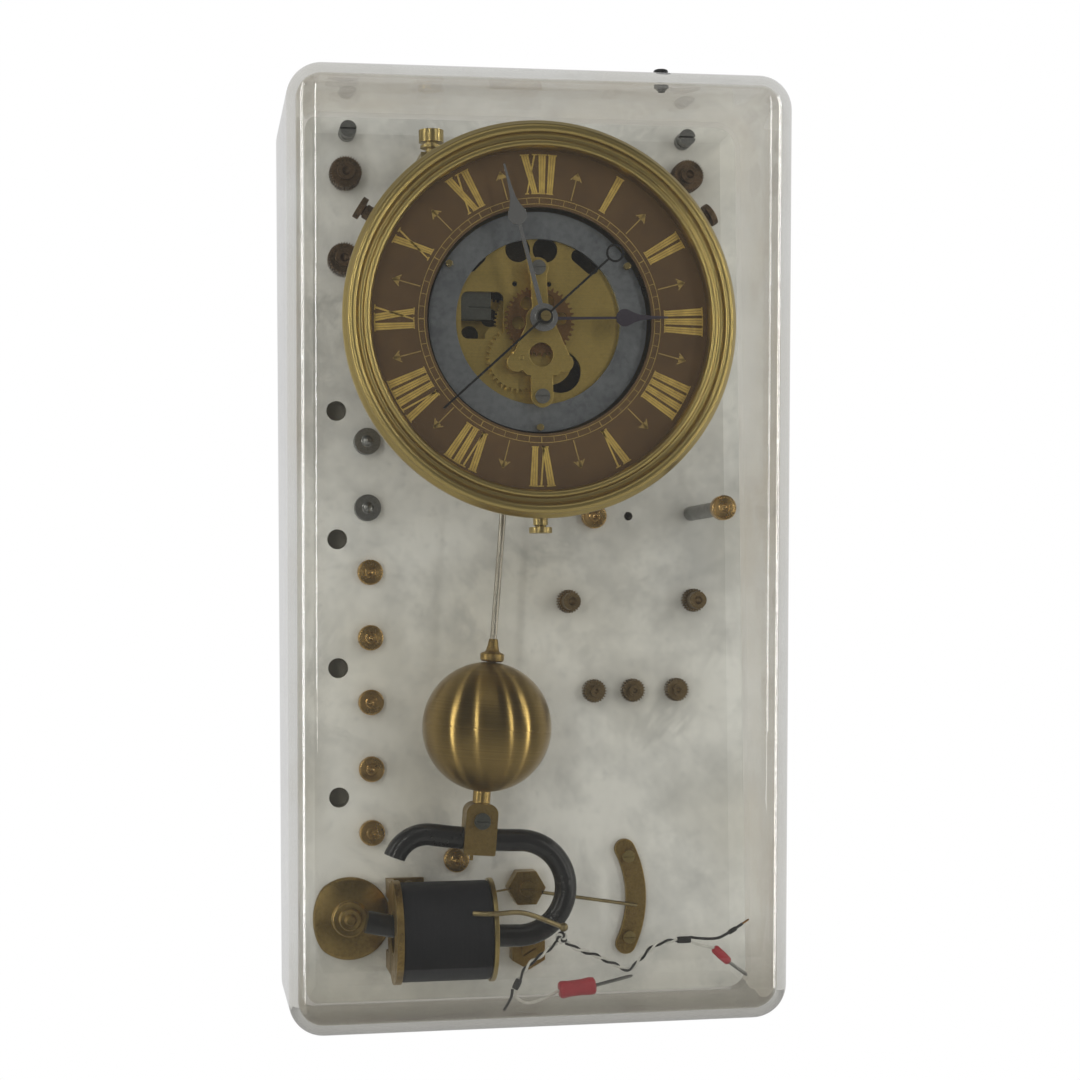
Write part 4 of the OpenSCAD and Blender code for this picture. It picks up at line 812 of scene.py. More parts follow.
@dataclass
class Studio:
    """Camera at the photograph's place, soft lamps, pale surroundings and a floor."""

    camera_place: Point = (-0.1547, -0.9911, -0.0226)
    yaw: float = 9.53
    pitch: float = 1.72
    roll: float = -0.59
    lens: float = 72.1
    sensor: float = 36.0
    floor_z: float = -0.62
    floor_half: float = 1.35
    floor_tones: Flat = (0.66, 0.69)
    floor_white: float = 0.8
    ambient: float = 0.46
    front_level: float = 0.11
    back_level: float = 0.68
    front_fade: Flat = (-0.2, 0.4)
    dimmed: float = 0.5
    steep_fade: Flat = (0.2, 0.85)
    edge_fade: Flat = (-0.7, -0.2)
    aim: Point = (0.0, -0.05, 0.0)
    lamps: tuple[tuple[str, Point, Flat, float], ...] = (
        ("strip_left", (-1.3, -0.45, 0.2), (0.08, 1.5), 5.2),
        ("strip_right", (1.3, -0.5, 0.15), (0.08, 1.5), 5.2),
        ("strip_middle_left", (-0.7, -1.4, 0.3), (0.06, 1.3), 3.8),
        ("strip_middle_right", (0.95, -1.35, 0.25), (0.06, 1.3), 3.8),
        ("overhead", (-0.15, -0.95, 1.35), (1.1, 0.7), 1.8),
    )

    def camera(self) -> None:
        """Sets the camera."""
        yaw, pitch, roll = (math.radians(a) for a in (self.yaw, self.pitch, self.roll))
        ahead = Vector((math.sin(yaw) * math.cos(pitch), math.cos(yaw) * math.cos(pitch),
                        math.sin(pitch)))
        right = Vector((math.cos(yaw), -math.sin(yaw), 0.0))
        up = right.cross(ahead)
        across = math.cos(roll) * right + math.sin(roll) * up
        upright = math.cos(roll) * up - math.sin(roll) * right
        data = bpy.data.cameras.new("camera")
        data.lens, data.sensor_width = self.lens, self.sensor
        data.clip_start, data.clip_end = 0.02, 50.0
        made = add_object("camera", data)
        columns = Matrix((across, upright, -ahead)).transposed().to_4x4()
        made.matrix_world = Matrix.Translation(self.camera_place) @ columns
        bpy.context.scene.camera = made

    def light(self) -> None:
        """Sets the lamps, all aimed at the clock and hidden from the camera."""
        for name, place, size, power in self.lamps:
            data = bpy.data.lights.new(name, "AREA")
            data.shape = "RECTANGLE"
            data.size, data.size_y = size
            data.energy = power
            made = add_object(name, data)
            turn = (Vector(place) - Vector(self.aim)).to_track_quat("Z", "Y")
            made.matrix_world = Matrix.Translation(place) @ turn.to_matrix().to_4x4()
            made.visible_camera = False
            made.visible_transmission = False

    def mirror_level(self, wiring: Wiring, path: bpy.types.Node) -> Socket:
        """Works out how bright the surroundings are in glass and metal.

        They are dimmer on the viewer's side, and dimmer still above and below for metal behind
        the cover. What is seen straight through the cover or in its edges keeps the full level.

        Args:
            wiring: The world's wiring.
            path: The node that says how a ray came.

        Returns:
            The level's socket.
        """
        _, away, up = wiring.split(wiring.node("TexCoord").outputs["Generated"])
        refracted, faces = path.outputs["Is Transmission Ray"], path.outputs["Transmission Depth"]
        past_wall = wiring.math("GREATER_THAN", faces, 1.5)
        in_wall = wiring.math("SUBTRACT", wiring.math("GREATER_THAN", faces, 0.5), past_wall)
        mirrored = wiring.times(past_wall, wiring.absent(refracted))
        steep = wiring.times(wiring.math("ABSOLUTE", up), mirrored)
        level = wiring.ramp(away, *self.front_fade, self.front_level, self.back_level)
        level = wiring.times(level, wiring.ramp(steep, *self.steep_fade, 1.0, self.dimmed))
        unmirrored = wiring.math("LESS_THAN", path.outputs["Glossy Depth"], 0.5)
        straight = wiring.times(unmirrored, refracted)
        edges = wiring.times(in_wall, wiring.ramp(away, *self.edge_fade))
        clear = wiring.math("MAXIMUM", straight, edges)
        return wiring.math("MAXIMUM", level, wiring.times(clear, self.back_level))

    def surroundings(self) -> None:
        """Sets a background that is white to the camera, and dimmer in glass and metal."""
        world = bpy.data.worlds.new("surroundings")
        world.use_nodes = True
        bpy.context.scene.world = world
        wiring = Wiring(world.node_tree)
        path = wiring.node("LightPath")
        direct = path.outputs["Is Camera Ray"]
        seen = wiring.math("MAXIMUM", self.mirror_level(wiring, path), direct)
        shown = wiring.math("ADD", direct, path.outputs["Is Glossy Ray"])
        shown = wiring.math("ADD", shown, path.outputs["Is Transmission Ray"], clamp=True)
        soft, white = (wiring.node("Background", {"Color": (1, 1, 1, 1), "Strength": strength})
                       for strength in (self.ambient, seen))
        wiring.node("OutputWorld", {"Surface": wiring.mix(shown, soft, white)})

    def floor(self) -> None:
        """Lays the pale floor, which the camera sees almost white."""
        material, wiring, coords = start_material("floor_pale")
        tones = (rgba((tone, tone, tone)) for tone in self.floor_tones)
        matt = wiring.node("BsdfDiffuse", {
            "Color": wiring.blend(wiring.noise(coords, 3.0), *tones),
        })
        white = wiring.node("Emission", {"Color": (1, 1, 1, 1), "Strength": 1.0})
        direct = wiring.node("LightPath").outputs["Is Camera Ray"]
        mixed = wiring.mix(wiring.times(direct, self.floor_white), matt, white)
        wiring.node("OutputMaterial", {"Surface": mixed})
        shape = bmesh.new()
        bmesh.ops.create_grid(shape, x_segments=4, y_segments=4, size=self.floor_half,
                              matrix=Matrix.Translation((0.0, -0.1, self.floor_z)))
        mesh = bpy.data.meshes.new("floor")
        shape.to_mesh(mesh)
        shape.free()
        mesh.materials.append(material)
        add_object("floor", mesh)

    def build(self) -> None:
        """Sets everything but the camera."""
        bpy.context.scene.view_settings.view_transform = "Standard"
        self.light()
        self.surroundings()
        self.floor()


class Turning(Enum):
    """Profiles of what is on the leads: radius in millimetres and place along it, from 0 to 1."""

    TAPE = ((1.25, 0.0), (1.45, 0.08), (1.55, 0.5), (1.45, 0.92), (1.25, 1.0))
    SLEEVE = ((3.0, 0.0), (3.7, 0.04), (3.9, 0.1), (3.55, 0.3), (3.5, 0.6), (3.9, 0.85),
              (3.6, 0.96), (2.6, 1.0))
    SMALL_SLEEVE = ((1.5, 0.0), (1.95, 0.08), (2.05, 0.5), (1.8, 0.92), (1.2, 1.0))
    PIN = ((0.75, 0.0), (0.75, 0.85), (0.55, 0.97), (0.3, 1.0))
    WRAP = ((0.85, 0.0), (1.05, 0.1), (1.05, 0.9), (0.85, 1.0))
    TIP = ((0.45, 0.0), (0.45, 0.9), (0.3, 1.0))


Bar = tuple[str, Point, Point, Turning, Finish, str]


@dataclass
class FreeLeads:
    """The free twisted lead: a knot, two branches, tapes, sleeves, pins and bare ends."""

    knot: Point = (9, -60, -167)
    left_pair: Route = ((7, -60, -169), (0, -61, -174), (-6, -62, -178), (-10, -62, -184))
    right_pair: Route = (
        (11, -60, -169), (16, -61, -172), (24, -62, -175), (31, -62, -178.5),
        (38.5, -62, -181.5), (44, -62, -176.5), (51, -62, -171), (60, -62, -169.5),
    )
    left_white: Route = ((-11, -62, -188), (-11.5, -63, -191.5), (-7, -64, -194),
                         (0, -64, -192.5), (7, -64, -189))
    left_black: Route = ((-13, -62, -188), (-14, -63, -192), (-17, -63, -197))
    right_black: Route = ((66, -62, -168.5), (72, -62, -169.3), (78, -62, -169.3),
                          (83, -61, -167.5), (90, -60, -163.7))
    right_white: Route = ((66, -62, -170.5), (71, -62, -172.2), (76.5, -62, -173.6))
    left_bars: tuple[Bar, ...] = (
        ("left_tape", (-10, -62, -184), (-12, -62, -188), Turning.TAPE, Finish.TAPE,
         "black_wire"),
        ("left_sleeve", (7, -64, -189), (23, -64, -187.4), Turning.SLEEVE, Finish.SLEEVE,
         "red_sleeve"),
        ("left_pin", (23, -64, -187.4), (39.5, -64, -183.8), Turning.PIN, Finish.GREY,
         "grey_steel"),
    )
    right_bars: tuple[Bar, ...] = (
        ("right_tape", (60, -62, -169.5), (66, -62, -169.5), Turning.TAPE, Finish.TAPE,
         "black_wire"),
        ("right_sleeve", (76.5, -62, -173.6), (83.3, -62, -180), Turning.SMALL_SLEEVE,
         Finish.SLEEVE, "red_sleeve"),
        ("right_pin", (83.3, -62, -180), (91.3, -62, -186), Turning.PIN, Finish.GREY,
         "grey_steel"),
        ("right_end_tape", (83.5, -60.9, -167.3), (87, -60.4, -165.5), Turning.WRAP, Finish.TAPE,
         "black_wire"),
        ("right_tip", (89.8, -60, -163.8), (93, -59.7, -161.9), Turning.TIP, Finish.COPPER,
         "black_wire"),
    )
    strand_r: float = 0.56
    wire_r: float = 0.62
    pitch: float = 9.5
    cord_d: float = 2.2
    steps: int = 8
    quarter_sides: int = 3
    knot_size: float = 0.75
    knot_steps: int = 48

    def strand(self, line: Sequence[Vector], phase: float) -> list[Vector]:
        """Winds one strand of the pair round a line.

        Args:
            line: The pair's centre line.
            phase: The strand's angle at the start, in radians.

        Returns:
            The strand's own centre line.
        """
        wound, travelled = [], 0.0
        for i, point in enumerate(line):
            ahead = (line[min(i + 1, len(line) - 1)] - line[max(i - 1, 0)]).normalized()
            side = ahead.cross(Vector((0, 1, 0))).normalized()
            up = side.cross(ahead)
            if i:
                travelled += (point - line[i - 1]).length
            turn = phase + FULL_TURN * travelled / self.pitch
            wound.append(point + self.strand_r * (math.cos(turn) * side + math.sin(turn) * up))
        return wound

    def lead(self, name: str, pair: Sequence[Point], single: Sequence[Point], single_slot: int,
             replaced: Sequence[str]) -> None:
        """Makes one branch: a twisted pair that goes on as one wire.

        Args:
            name: The piece's name.
            pair: The pair's route.
            single: The single wire's route.
            single_slot: 0 for a white wire and 1 for a black one.
            replaced: CAD nodes that it stands for.
        """
        together = smooth_route(pair, self.steps)
        alone = smooth_route(single, self.steps)
        shape = bmesh.new()
        for slot, phase in ((0, 0.0), (1, math.pi)):
            add_tube(shape, self.strand(together, phase), self.strand_r, slot, self.quarter_sides)
        add_tube(shape, [together[-1], *alone], self.wire_r, single_slot, self.quarter_sides)
        made = Bench.piece(name, shape, MILLIMETRES,
                           [Finish.WHITE_CLOTH, Finish.BLACK_CLOTH], "frame", "lead_cloth",
                           replaced)

    def bar(self, name: str, start: Point, end: Point, turning: Turning, finish: Finish,
            slot: str) -> bpy.types.Object:
        """Makes a turned piece along a straight line.

        Args:
            name: The piece's name.
            start: Its first end.
            end: Its last end.
            turning: Its profile.
            finish: Its finish.
            slot: The record's material slot.

        Returns:
            The new object.
        """
        run = Vector(end) - Vector(start)
        points = [(0.0, 0.0), *((r, h * run.length) for r, h in turning.value), (0.0, run.length)]
        place = (MILLIMETRES @ Matrix.Translation(start)
                 @ run.to_track_quat("Z", "Y").to_matrix().to_4x4())
        return Bench.piece(name, lathe(points, 24), place, [finish], "frame", slot)

    def knot_piece(self) -> None:
        """Makes the knot of a white and a black loop at the leads' start."""
        shape = bmesh.new()
        for slot, phase in ((0, 0.0), (1, math.radians(60))):
            line = []
            for i in range(self.knot_steps):
                t = FULL_TURN * i / self.knot_steps
                flat = Vector((math.sin(t) + 2 * math.sin(2 * t), -1.1 * math.sin(3 * t),
                               math.cos(t) - 2 * math.cos(2 * t))) * self.knot_size
                line.append(Vector(self.knot) + Matrix.Rotation(phase, 3, "Y") @ flat)
            add_tube(shape, line, self.strand_r, slot, self.quarter_sides, cyclic=True)
        Bench.piece("lead_knot", shape, MILLIMETRES,
                    [Finish.WHITE_CLOTH, Finish.BLACK_CLOTH], "frame", "lead_cloth",
                    ["lead_ends"])

    def stub(self, name: str, route: Sequence[Point], finish: Finish, node: str
             ) -> bpy.types.Object:
        """Makes a short single wire.

        Args:
            name: The piece's name.
            route: Its route.
            finish: Its finish.
            node: The CAD node that it stands for.

        Returns:
            The new object.
        """
        shape = bmesh.new()
        line = smooth_route(route, self.steps)
        add_tube(shape, line, self.wire_r, sides=self.quarter_sides)
        return Bench.piece(name, shape, MILLIMETRES, [finish], "frame", Bench.slots[node],
                           [node])

    def build(self) -> None:
        """Makes the pieces on the leads, then the leads."""
        left = [self.bar(*bar) for bar in self.left_bars]
        left.append(self.stub("left_black_end", self.left_black, Finish.BLACK_CLOTH,
                              "left_black_wire"))
        right = [self.bar(*bar) for bar in self.right_bars]
        right.append(self.stub("right_white_end", self.right_white, Finish.WHITE_CLOTH,
                               "right_white_wire"))
        self.lead("left_lead", self.left_pair, self.left_white, 0,
                  ["left_pair", "left_white_wire"])
        self.lead("right_lead", self.right_pair, self.right_black, 1,
                  ["right_pair", "right_black_wire"])
        self.knot_piece()


@dataclass
class Slab:
    """The marble slab and the hardware on it."""

    hardware: tuple[Dressing, ...] = (
        ("wall_bolts", Finish.GREY, 0.25), ("dial_pillars", Finish.AGED, 0.25),
        ("lead_post", Finish.TURNED, 0.3), ("steel_terminals", Finish.GREY, 0.3),
        ("knurled_terminals", Finish.KNURL, 0.2), ("dark_knobs", Finish.BRONZE, 0.2),
        ("slab_screws", Finish.TURNED, 0.2), ("hex_nuts", Finish.AGED, 0.4),
        ("arc_bar", Finish.AGED, 0.4),
    )
    terminal_places: tuple[Flat, ...] = (
        (-69.0, -7.0), (-69.0, -36.5), (-69.0, -65.5), (-69.0, -95.5), (-69.0, -124.0),
        (-31.0, -137.0), (34.0, 18.0),
    )
    disc_place: Flat = (-79.3, -162.0)
    post_place: Flat = (80.0, 19.0)
    stud_r: float = 1.5
    stud_back: float = 5.0
    face: float = 14.0
    post_front: float = 72.0

    def on_stud(self, profile: Sequence[Flat]) -> list[Flat]:
        """Gives a profile drawn from the slab's face, with the stud that holds it in the slab."""
        stud = [(0.0, self.stud_back), (self.stud_r, self.stud_back), (self.stud_r, self.face)]
        return [*stud, *((radius, self.face + height) for radius, height in profile)]

    def long_post(self) -> None:
        """Turns the long post: a grey shaft with a stud, and a brass head with a hollow."""
        front = self.post_front
        reach = front - self.face
        shaft = self.on_stud(((3.1, 0.0), (3.3, 0.2), (3.3, reach), (0.0, reach)))
        head = [(0.0, front - 0.1), (5.1, front - 0.1), (5.4, front + 0.2), (5.4, front + 4.5),
                (5.0, front + 4.9), (4.4, front + 4.9), (4.1, front + 4.6), (2.4, front + 4.6),
                (2.1, front + 4.9), (1.55, front + 4.9), (1.2, front + 4.3), (0.0, front + 3.7)]
        place = from_front(*self.post_place, 0)
        Bench.turn("post_shaft", shaft, 48, place, Finish.GREY, "long_post")
        Bench.turn("post_head", head, 64, place, Finish.TERMINAL, "long_post", extra=True)

    def turned(self) -> None:
        """Turns the brass terminals and the disc, whose faces are slightly hollow."""
        terminal = self.on_stud((
            (5.5, 0.0), (5.7, 0.2), (5.7, 3.4), (5.3, 3.9), (4.9, 4.0), (3.1, 3.7), (2.6, 3.7),
            (2.4, 3.9), (2.4, 4.6), (2.2, 4.8), (1.3, 4.8), (0.9, 4.3), (0.0, 4.0),
        ))
        disc = self.on_stud((
            (18.1, 0.0), (18.4, 0.3), (18.4, 1.9), (18.2, 2.3), (17.6, 2.8), (17.2, 3.0),
            (8.3, 2.7), (8.0, 2.9), (7.7, 4.7), (7.3, 5.0), (5.2, 4.85), (4.95, 5.05), (4.7, 6.7),
            (4.4, 7.0), (2.8, 6.85), (2.5, 7.1), (2.1, 8.3), (1.8, 8.5), (0.0, 8.5),
        ))
        for i, spot in enumerate(self.terminal_places):
            Bench.turn(f"turned_terminal_{i}", terminal, 64, from_front(*spot, 0),
                       Finish.TERMINAL, "brass_terminals", extra=i > 0)
        Bench.turn("turned_disc", disc, 96, from_front(*self.disc_place, 0), Finish.DISC,
                   "disc_terminal")

    def build(self) -> None:
        """Finishes the slab and its hardware."""
        Bench.dress("marble_slab", Finish.MARBLE)
        Bench.dress_all(self.hardware)
        self.turned()
        self.long_post()


class Stroke(Enum):
    """Strokes of a numeral: places of their lines, line width and foot width."""

    THICK = ((-0.98, 0.0, 0.98), 0.82, 3.5)
    THIN = ((0.0,), 0.7, 2.0)


@dataclass
class Dial:
    """The drum, bezel, chapter ring and what is drawn on it."""

    centre_z: float = 100.0
    ring_front: float = 75.5
    foot_r: float = 54.8
    head_r: float = 71.5
    mark_low: float = -0.03
    mark_high: float = 0.12
    track: tuple[float, float] = (50.1, 52.7)
    line_w: float = 0.3
    five_w: float = 0.55
    arrow_r: Flat = (62.6, 66.0)
    letters: tuple[tuple[str, float, tuple[tuple[float, float, Stroke], ...]], ...] = (
        ("I", 3.9, ((0.0, 0.0, Stroke.THICK),)),
        ("V", 6.5, ((-1.6, 0.3, Stroke.THICK), (2.3, 0.9, Stroke.THIN))),
        ("X", 6.5, ((-1.7, 1.7, Stroke.THICK), (2.2, -2.2, Stroke.THIN))),
    )
    hours: tuple[str, ...] = ("XII", "I", "II", "III", "IIII", "V", "VI", "VII", "VIII", "IX",
                              "X", "XI")

    def patch(self, shape: Shape, turn: float, corners: Sequence[Flat],
              slot: int = 0) -> None:
        """Adds one flat patch of gilding.

        Args:
            shape: The shape to add to.
            turn: The mark's angle, clockwise from twelve, in degrees.
            corners: Each corner's distance to the right, at the ring's middle, and its radius.
            slot: 0 for bright gilding and 1 for worn gilding.
        """
        middle = (self.foot_r + self.head_r) / 2
        points = []
        for aside, radius in corners:
            angle = math.radians(turn) + aside / middle
            points.append(shape.verts.new((radius * math.sin(angle), radius * math.cos(angle),
                                           self.mark_low)))
        shape.faces.new(points).material_index = slot

    def line(self, shape: Shape, turn: float, start: Flat, end: Flat,
             width: float, slot: int = 0) -> None:
        """Adds one straight line of gilding between two places in a patch's measures."""
        half = width / 2
        self.patch(shape, turn, ((start[0] - half, start[1]), (start[0] + half, start[1]),
                                 (end[0] + half, end[1]), (end[0] - half, end[1])), slot)

    def numeral(self, shape: Shape, hour: int) -> None:
        """Adds one numeral, its foot towards the dial's centre.

        Args:
            shape: The shape to add to.
            hour: The hour, from 0 at twelve.
        """
        forms = {letter: (advance, strokes) for letter, advance, strokes in self.letters}
        word = self.hours[hour]
        place = -sum(forms[letter][0] for letter in word) / 2
        turn = 30.0 * hour
        for letter in word:
            advance, strokes = forms[letter]
            middle = place + advance / 2
            for head, foot, stroke in strokes:
                offsets, width, serif = stroke.value
                for offset in offsets:
                    self.line(shape, turn, (middle + foot + offset, self.foot_r),
                              (middle + head + offset, self.head_r), width)
                for aside, low in ((foot, self.foot_r - 0.3), (head, self.head_r - 0.2)):
                    half = serif / 2
                    self.patch(shape, turn, (
                        (middle + aside - half, low), (middle + aside + half, low),
                        (middle + aside + half, low + 0.5), (middle + aside - half, low + 0.5),
                    ))
            place += advance

    def half_hour(self, shape: Shape, hour: int) -> None:
        """Adds the arrow between two numerals.

        Args:
            shape: The shape to add to.
            hour: The hour before it.
        """
        turn = 30.0 * hour + 15.0
        barb, tip = self.arrow_r
        self.line(shape, turn, (0.0, self.foot_r - 1.2), (0.0, tip - 1.0), 0.5, 1)
        for side in (-1, 1):
            self.line(shape, turn, (side * 2.4, barb), (side * 0.15, tip - 0.4), 0.65, 1)
        self.patch(shape, turn, ((-1.5, barb + 0.3), (1.5, barb + 0.3), (0.25, tip),
                                 (-0.25, tip)), 1)

    def marks(self) -> None:
        """Draws the numerals, arrows and minute track on the chapter ring."""
        shape = bmesh.new()
        for hour in range(12):
            self.numeral(shape, hour)
            self.half_hour(shape, hour)
        for minute in range(60):
            width = self.line_w if minute % 5 else self.five_w
            self.line(shape, 6.0 * minute, (0.0, self.track[0]), (0.0, self.track[1]), width, 1)
        raised = bmesh.ops.extrude_face_region(shape, geom=list(shape.faces))
        lifted = [v for v in raised["geom"] if isinstance(v, bmesh.types.BMVert)]
        bmesh.ops.translate(shape, verts=lifted, vec=(0, 0, self.mark_high - self.mark_low))
        bmesh.ops.recalc_face_normals(shape, faces=shape.faces)
        for inner in self.track:
            outer = inner + self.line_w
            ring = lathe(((inner, self.mark_low), (outer, self.mark_low),
                          (outer, self.mark_high), (inner, self.mark_high)), 144, True)
            part = bpy.data.meshes.new("track_ring")
            for face in ring.faces:
                face.material_index = 1
            ring.to_mesh(part)
            ring.free()
            shape.from_mesh(part)
            bpy.data.meshes.remove(part)
        Bench.piece("dial_marks", shape, from_front(0, self.centre_z, self.ring_front),
                    [Finish.GILT, Finish.FAINT], "frame", "turned_brass")

    def bezel(self) -> None:
        """Turns the bezel with its two beads, groove and skirt."""
        profile = [
            (80.3, 66.0), (82.8, 66.0), (83.0, 66.2), (83.0, 75.8), (83.3, 76.3), (85.0, 76.9),
            (85.5, 77.4), (85.5, 80.0), (85.3, 80.6), (84.5, 81.6),
            *arc((81.7, 82.8), 2.2, -8, 188, 16),
            (79.2, 82.2), (78.8, 81.8), (78.0, 81.6), (77.3, 81.8),
            *arc((75.4, 82.6), 1.6, -10, 180, 12),
            (73.5, 82.2), (73.5, 76.3), (73.6, 76.2), (80.3, 76.2),
        ]
        Bench.turn("turned_bezel", profile, 192, from_front(0, self.centre_z, 0), Finish.BEZEL,
                   "bezel", closed=True)

    def build(self) -> None:
        """Finishes the dial."""
        self.bezel()
        Bench.dress("dial_drum", Finish.TURNED)
        Bench.dress("chapter_ring", Finish.BROWN, 0.2)
        self.marks()
        Bench.dress("inner_ring", Finish.ZINC, 0.2)
        Bench.dress("ring_pins", Finish.TURNED, 0.25)
        for side, finish in (("left", Finish.BRONZE), ("right", Finish.BRONZE),
                             ("bottom", Finish.TURNED)):
            Bench.dress("thumbscrew_" + side, finish, 0.3)


@dataclass
class Movement:
    """The plates, wheels, arbors and hands."""

    pieces: tuple[Dressing, ...] = (
        ("back_plate", Finish.DARK, 0.2), ("front_plate", Finish.PLATE, 0.25),
        ("steel_block", Finish.DULL, 0.2),
        ("front_bridge", Finish.PLATE, 0.25), ("bridge_screws", Finish.GREY, 0.2),
        ("seconds_arbor", Finish.TURNED, 0.1), ("ratchet_wheel", Finish.COPPER, 0.08),
        ("third_wheel", Finish.PLATE, 0.08), ("minute_tube", Finish.GREY, 0.12),
        ("centre_wheel", Finish.PLATE, 0.08), ("minute_wheel", Finish.PLATE, 0.08),
        ("hour_wheel", Finish.COPPER, 0.08), ("hour_hand", Finish.BLUED, 0.18),
        ("minute_hand", Finish.BRIGHT, 0.18), ("seconds_hand", Finish.BLACKED, 0.1),
    )

    def build(self) -> None:
        """Finishes the movement."""
        Bench.dress_all(self.pieces)


@dataclass
class Pendulum:
    """The suspension, rod, bob, clamp and magnet."""

    swing: ClassVar[float] = 4.9
    pivot_z: float = 165.0
    depth: float = 45.0
    bob_r: float = 28.5
    bob_drop: float = 241.7
    ferrule_top: float = 203.0
    pieces: tuple[Dressing, ...] = (
        ("suspension_cock", Finish.AGED, 0.3), ("suspension_spring", Finish.BRIGHT, 0.0),
        ("click_spring", Finish.BRIGHT, 0.12), ("pendulum_hanger", Finish.AGED, 0.2),
        ("pendulum_rod", Finish.ROD, 0.0), ("magnet_clamp", Finish.AGED, 0.5),
        ("clamp_screw", Finish.DULL, 0.3), ("magnet_bar", Finish.MAGNET, 0.5),
        ("drive_pawl", Finish.BRIGHT, 0.08),
    )

    def hanging(self) -> Matrix:
        """Gives the matrix of a shape drawn down the pendulum's axis from its pivot."""
        return (from_front(0, self.pivot_z, self.depth)
                @ Matrix.Rotation(math.radians(-self.swing), 4, "Z")
                @ Matrix.Rotation(QUARTER_TURN, 4, "X"))

    def bob(self) -> None:
        """Turns the bob from two halves with a seam between them."""
        seam, groove = 0.2, 0.06
        profile: list[Flat] = []
        steps = 120
        for i in range(steps + 1):
            angle = math.pi * i / steps
            profile.append((self.bob_r * math.sin(angle),
                            self.bob_drop - self.bob_r * math.cos(angle)))
        middle = steps // 2
        profile[middle:middle + 1] = [
            (self.bob_r, self.bob_drop - seam), (self.bob_r - groove, self.bob_drop - seam / 3),
            (self.bob_r - groove, self.bob_drop + seam / 3), (self.bob_r, self.bob_drop + seam),
        ]
        Bench.turn("turned_bob", profile, 160, self.hanging(), Finish.BOB, "pendulum_bob")

    def ferrule(self) -> None:
        """Turns the flared cone and ring between the rod and the bob."""
        top = self.ferrule_top
        profile = [
            (0.0, top), (1.8, top), (2.0, top + 0.25), (2.45, top + 3.0), (3.0, top + 5.2),
            (3.6, top + 5.8), (4.8, top + 6.2), (5.25, top + 6.7), (5.3, top + 7.3),
            (5.3, top + 8.6), (5.1, top + 9.4), (4.4, top + 10.0), (2.0, top + 10.15),
            (2.0, top + 10.3), (0.0, top + 10.3),
        ]
        Bench.turn("turned_ferrule", profile, 48, self.hanging(), Finish.AGED, "rod_ferrule")

    def build(self) -> None:
        """Finishes the pendulum."""
        self.bob()
        self.ferrule()
        Bench.dress_all(self.pieces)


@dataclass
class Coil:
    """The coil, its bracket and the rigid leads."""

    left_x: float = -60.0
    axis_z: float = -164.5
    depth: float = 45.0
    length: float = 39.0
    outer_r: float = 21.5
    bore_r: float = 10.22
    bands: int = 18

    def winding(self) -> None:
        """Makes the cloth-covered winding, with a faint edge at each turn of its cover."""
        high, end = self.outer_r, self.length - 0.03
        profile: list[Flat] = [(self.bore_r, 0.03), (high - 0.9, 0.03), (high - 0.3, 0.25)]
        step = (self.length - 2.0) / self.bands
        for i in range(self.bands):
            low = 1.0 + i * step
            profile += [(high - 0.03, low), (high, low + 0.18), (high, low + step - 0.18)]
        profile += [(high - 0.03, self.length - 1.0), (high - 0.3, end - 0.22),
                    (high - 0.9, end), (self.bore_r, end)]
        place = (MILLIMETRES @ Matrix.Translation((self.left_x, -self.depth, self.axis_z))
                 @ Matrix.Rotation(QUARTER_TURN, 4, "Y"))
        Bench.turn("covered_winding", profile, 128, place, Finish.WINDING, "coil_winding",
                   closed=True)

    def build(self) -> None:
        """Finishes the coil."""
        self.winding()
        Bench.dress("coil_bracket", Finish.AGED, 0.4)
        Bench.dress("coil_former", Finish.TURNED, 0.3)
        Bench.dress("stiff_leads", Finish.OLIVE)


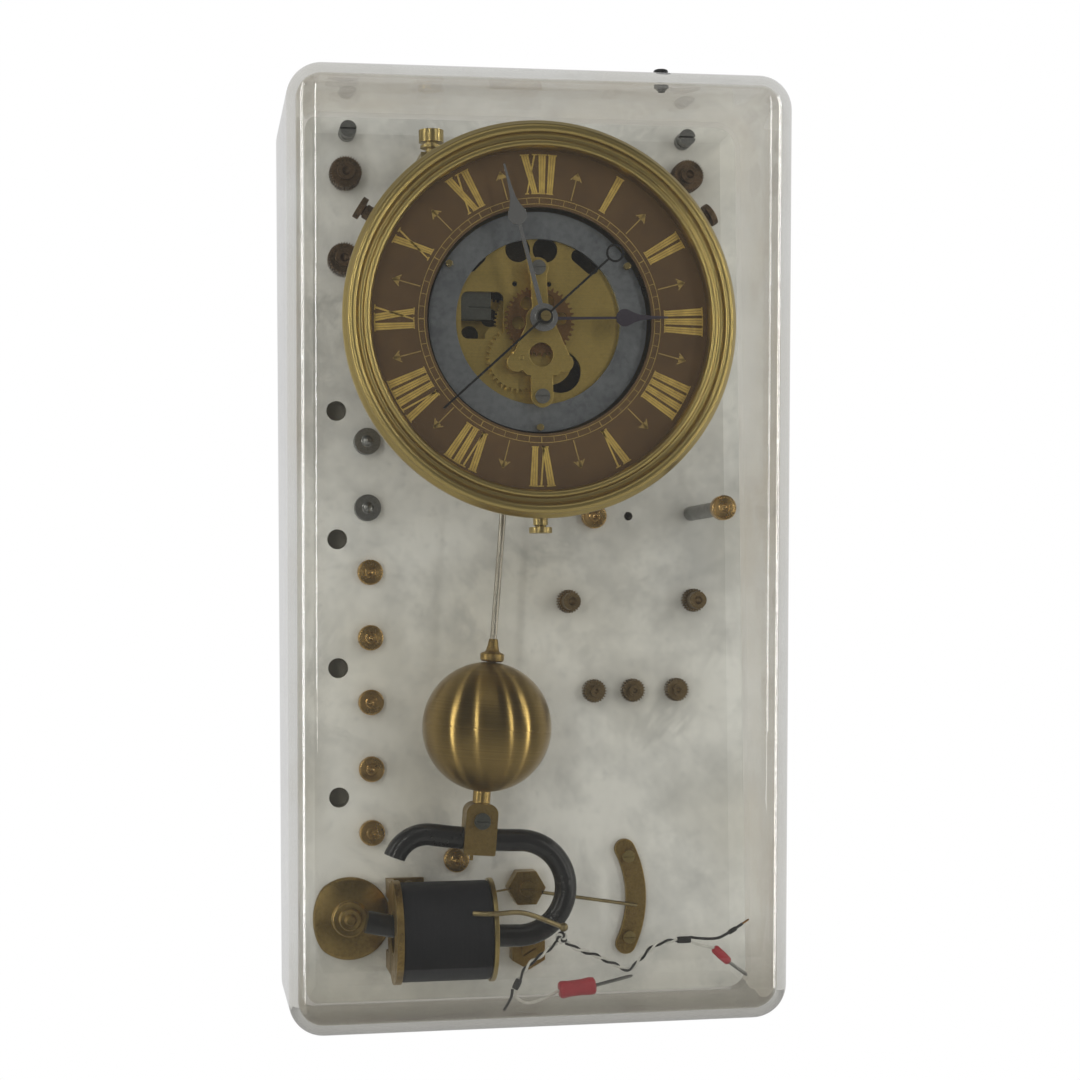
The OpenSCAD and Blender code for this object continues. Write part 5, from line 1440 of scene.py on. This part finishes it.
@dataclass
class Cover:
    """The clear cover and the knob on it."""

    width: float = 218.0
    height: float = 410.0
    wall: float = 4.0
    edge_r: float = 15.0
    middle_depth: float = 89.98
    rise: float = 30.0
    knob_x: float = 54.0
    knob_depth: float = 78.0

    def shell(self) -> None:
        """Makes the rounded box, open at its back, whose front leans out towards its top."""
        shape = bmesh.new()
        bmesh.ops.create_cube(shape, size=1.0)
        for corner in shape.verts:
            across, up = 2 * corner.co.x, 2 * corner.co.z
            depth = self.middle_depth + up * self.rise / 2 if corner.co.y < 0 else 0.0
            corner.co = (across * self.width / 2, -depth, up * self.height / 2)
        back = [f for f in shape.faces if all(v.co.y > -1 for v in f.verts)]
        kept = {e for f in back for e in f.edges}
        bmesh.ops.delete(shape, geom=back, context="FACES_ONLY")
        rounded = [e for e in shape.edges if e not in kept]
        bmesh.ops.bevel(shape, geom=rounded, offset=self.edge_r, offset_type="OFFSET",
                        affect="EDGES", segments=14, profile=0.5, material=-1)
        bmesh.ops.recalc_face_normals(shape, faces=shape.faces)
        made = Bench.piece("moulded_cover", shape, MILLIMETRES, [Finish.ACRYLIC],
                           "cover", "clear_acrylic", ["clear_cover"])
        wall = made.modifiers.new("wall", "SOLIDIFY")
        wall.thickness, wall.offset, wall.use_even_offset = self.wall * MM, -1.0, True
        made.modifiers.new("even_normals", "WEIGHTED_NORMAL").keep_sharp = True

    def knob(self) -> None:
        """Turns the knob that the cover is drawn off by."""
        profile = [
            (0.0, -4.0), (1.6, -4.0), (1.6, 0.0), (2.3, 0.02), (2.2, 0.9), (2.9, 1.2), (3.2, 1.5),
            (3.2, 3.9), (2.9, 4.4), (2.4, 4.6), (0.0, 4.6),
        ]
        place = MILLIMETRES @ Matrix.Translation((self.knob_x, -self.knob_depth, self.height / 2))
        Bench.turn("turned_knob", profile, 48, place, Finish.KNOB, "cover_knob")

    def build(self) -> None:
        """Makes the cover and its knob."""
        self.shell()
        self.knob()


def main() -> None:
    """Builds the clock piece by piece."""
    logging.basicConfig(level=logging.INFO, format="%(name)s: %(message)s")
    studio = Studio()
    studio.camera()
    for part in (FreeLeads(), Slab(), Dial(), Movement(), Pendulum(), Coil(), Cover(), studio):
        LOG.info("building %s", type(part).__name__)
        part.build()
    LOG.info("sizes written")


if __name__ == "__main__":
    main()
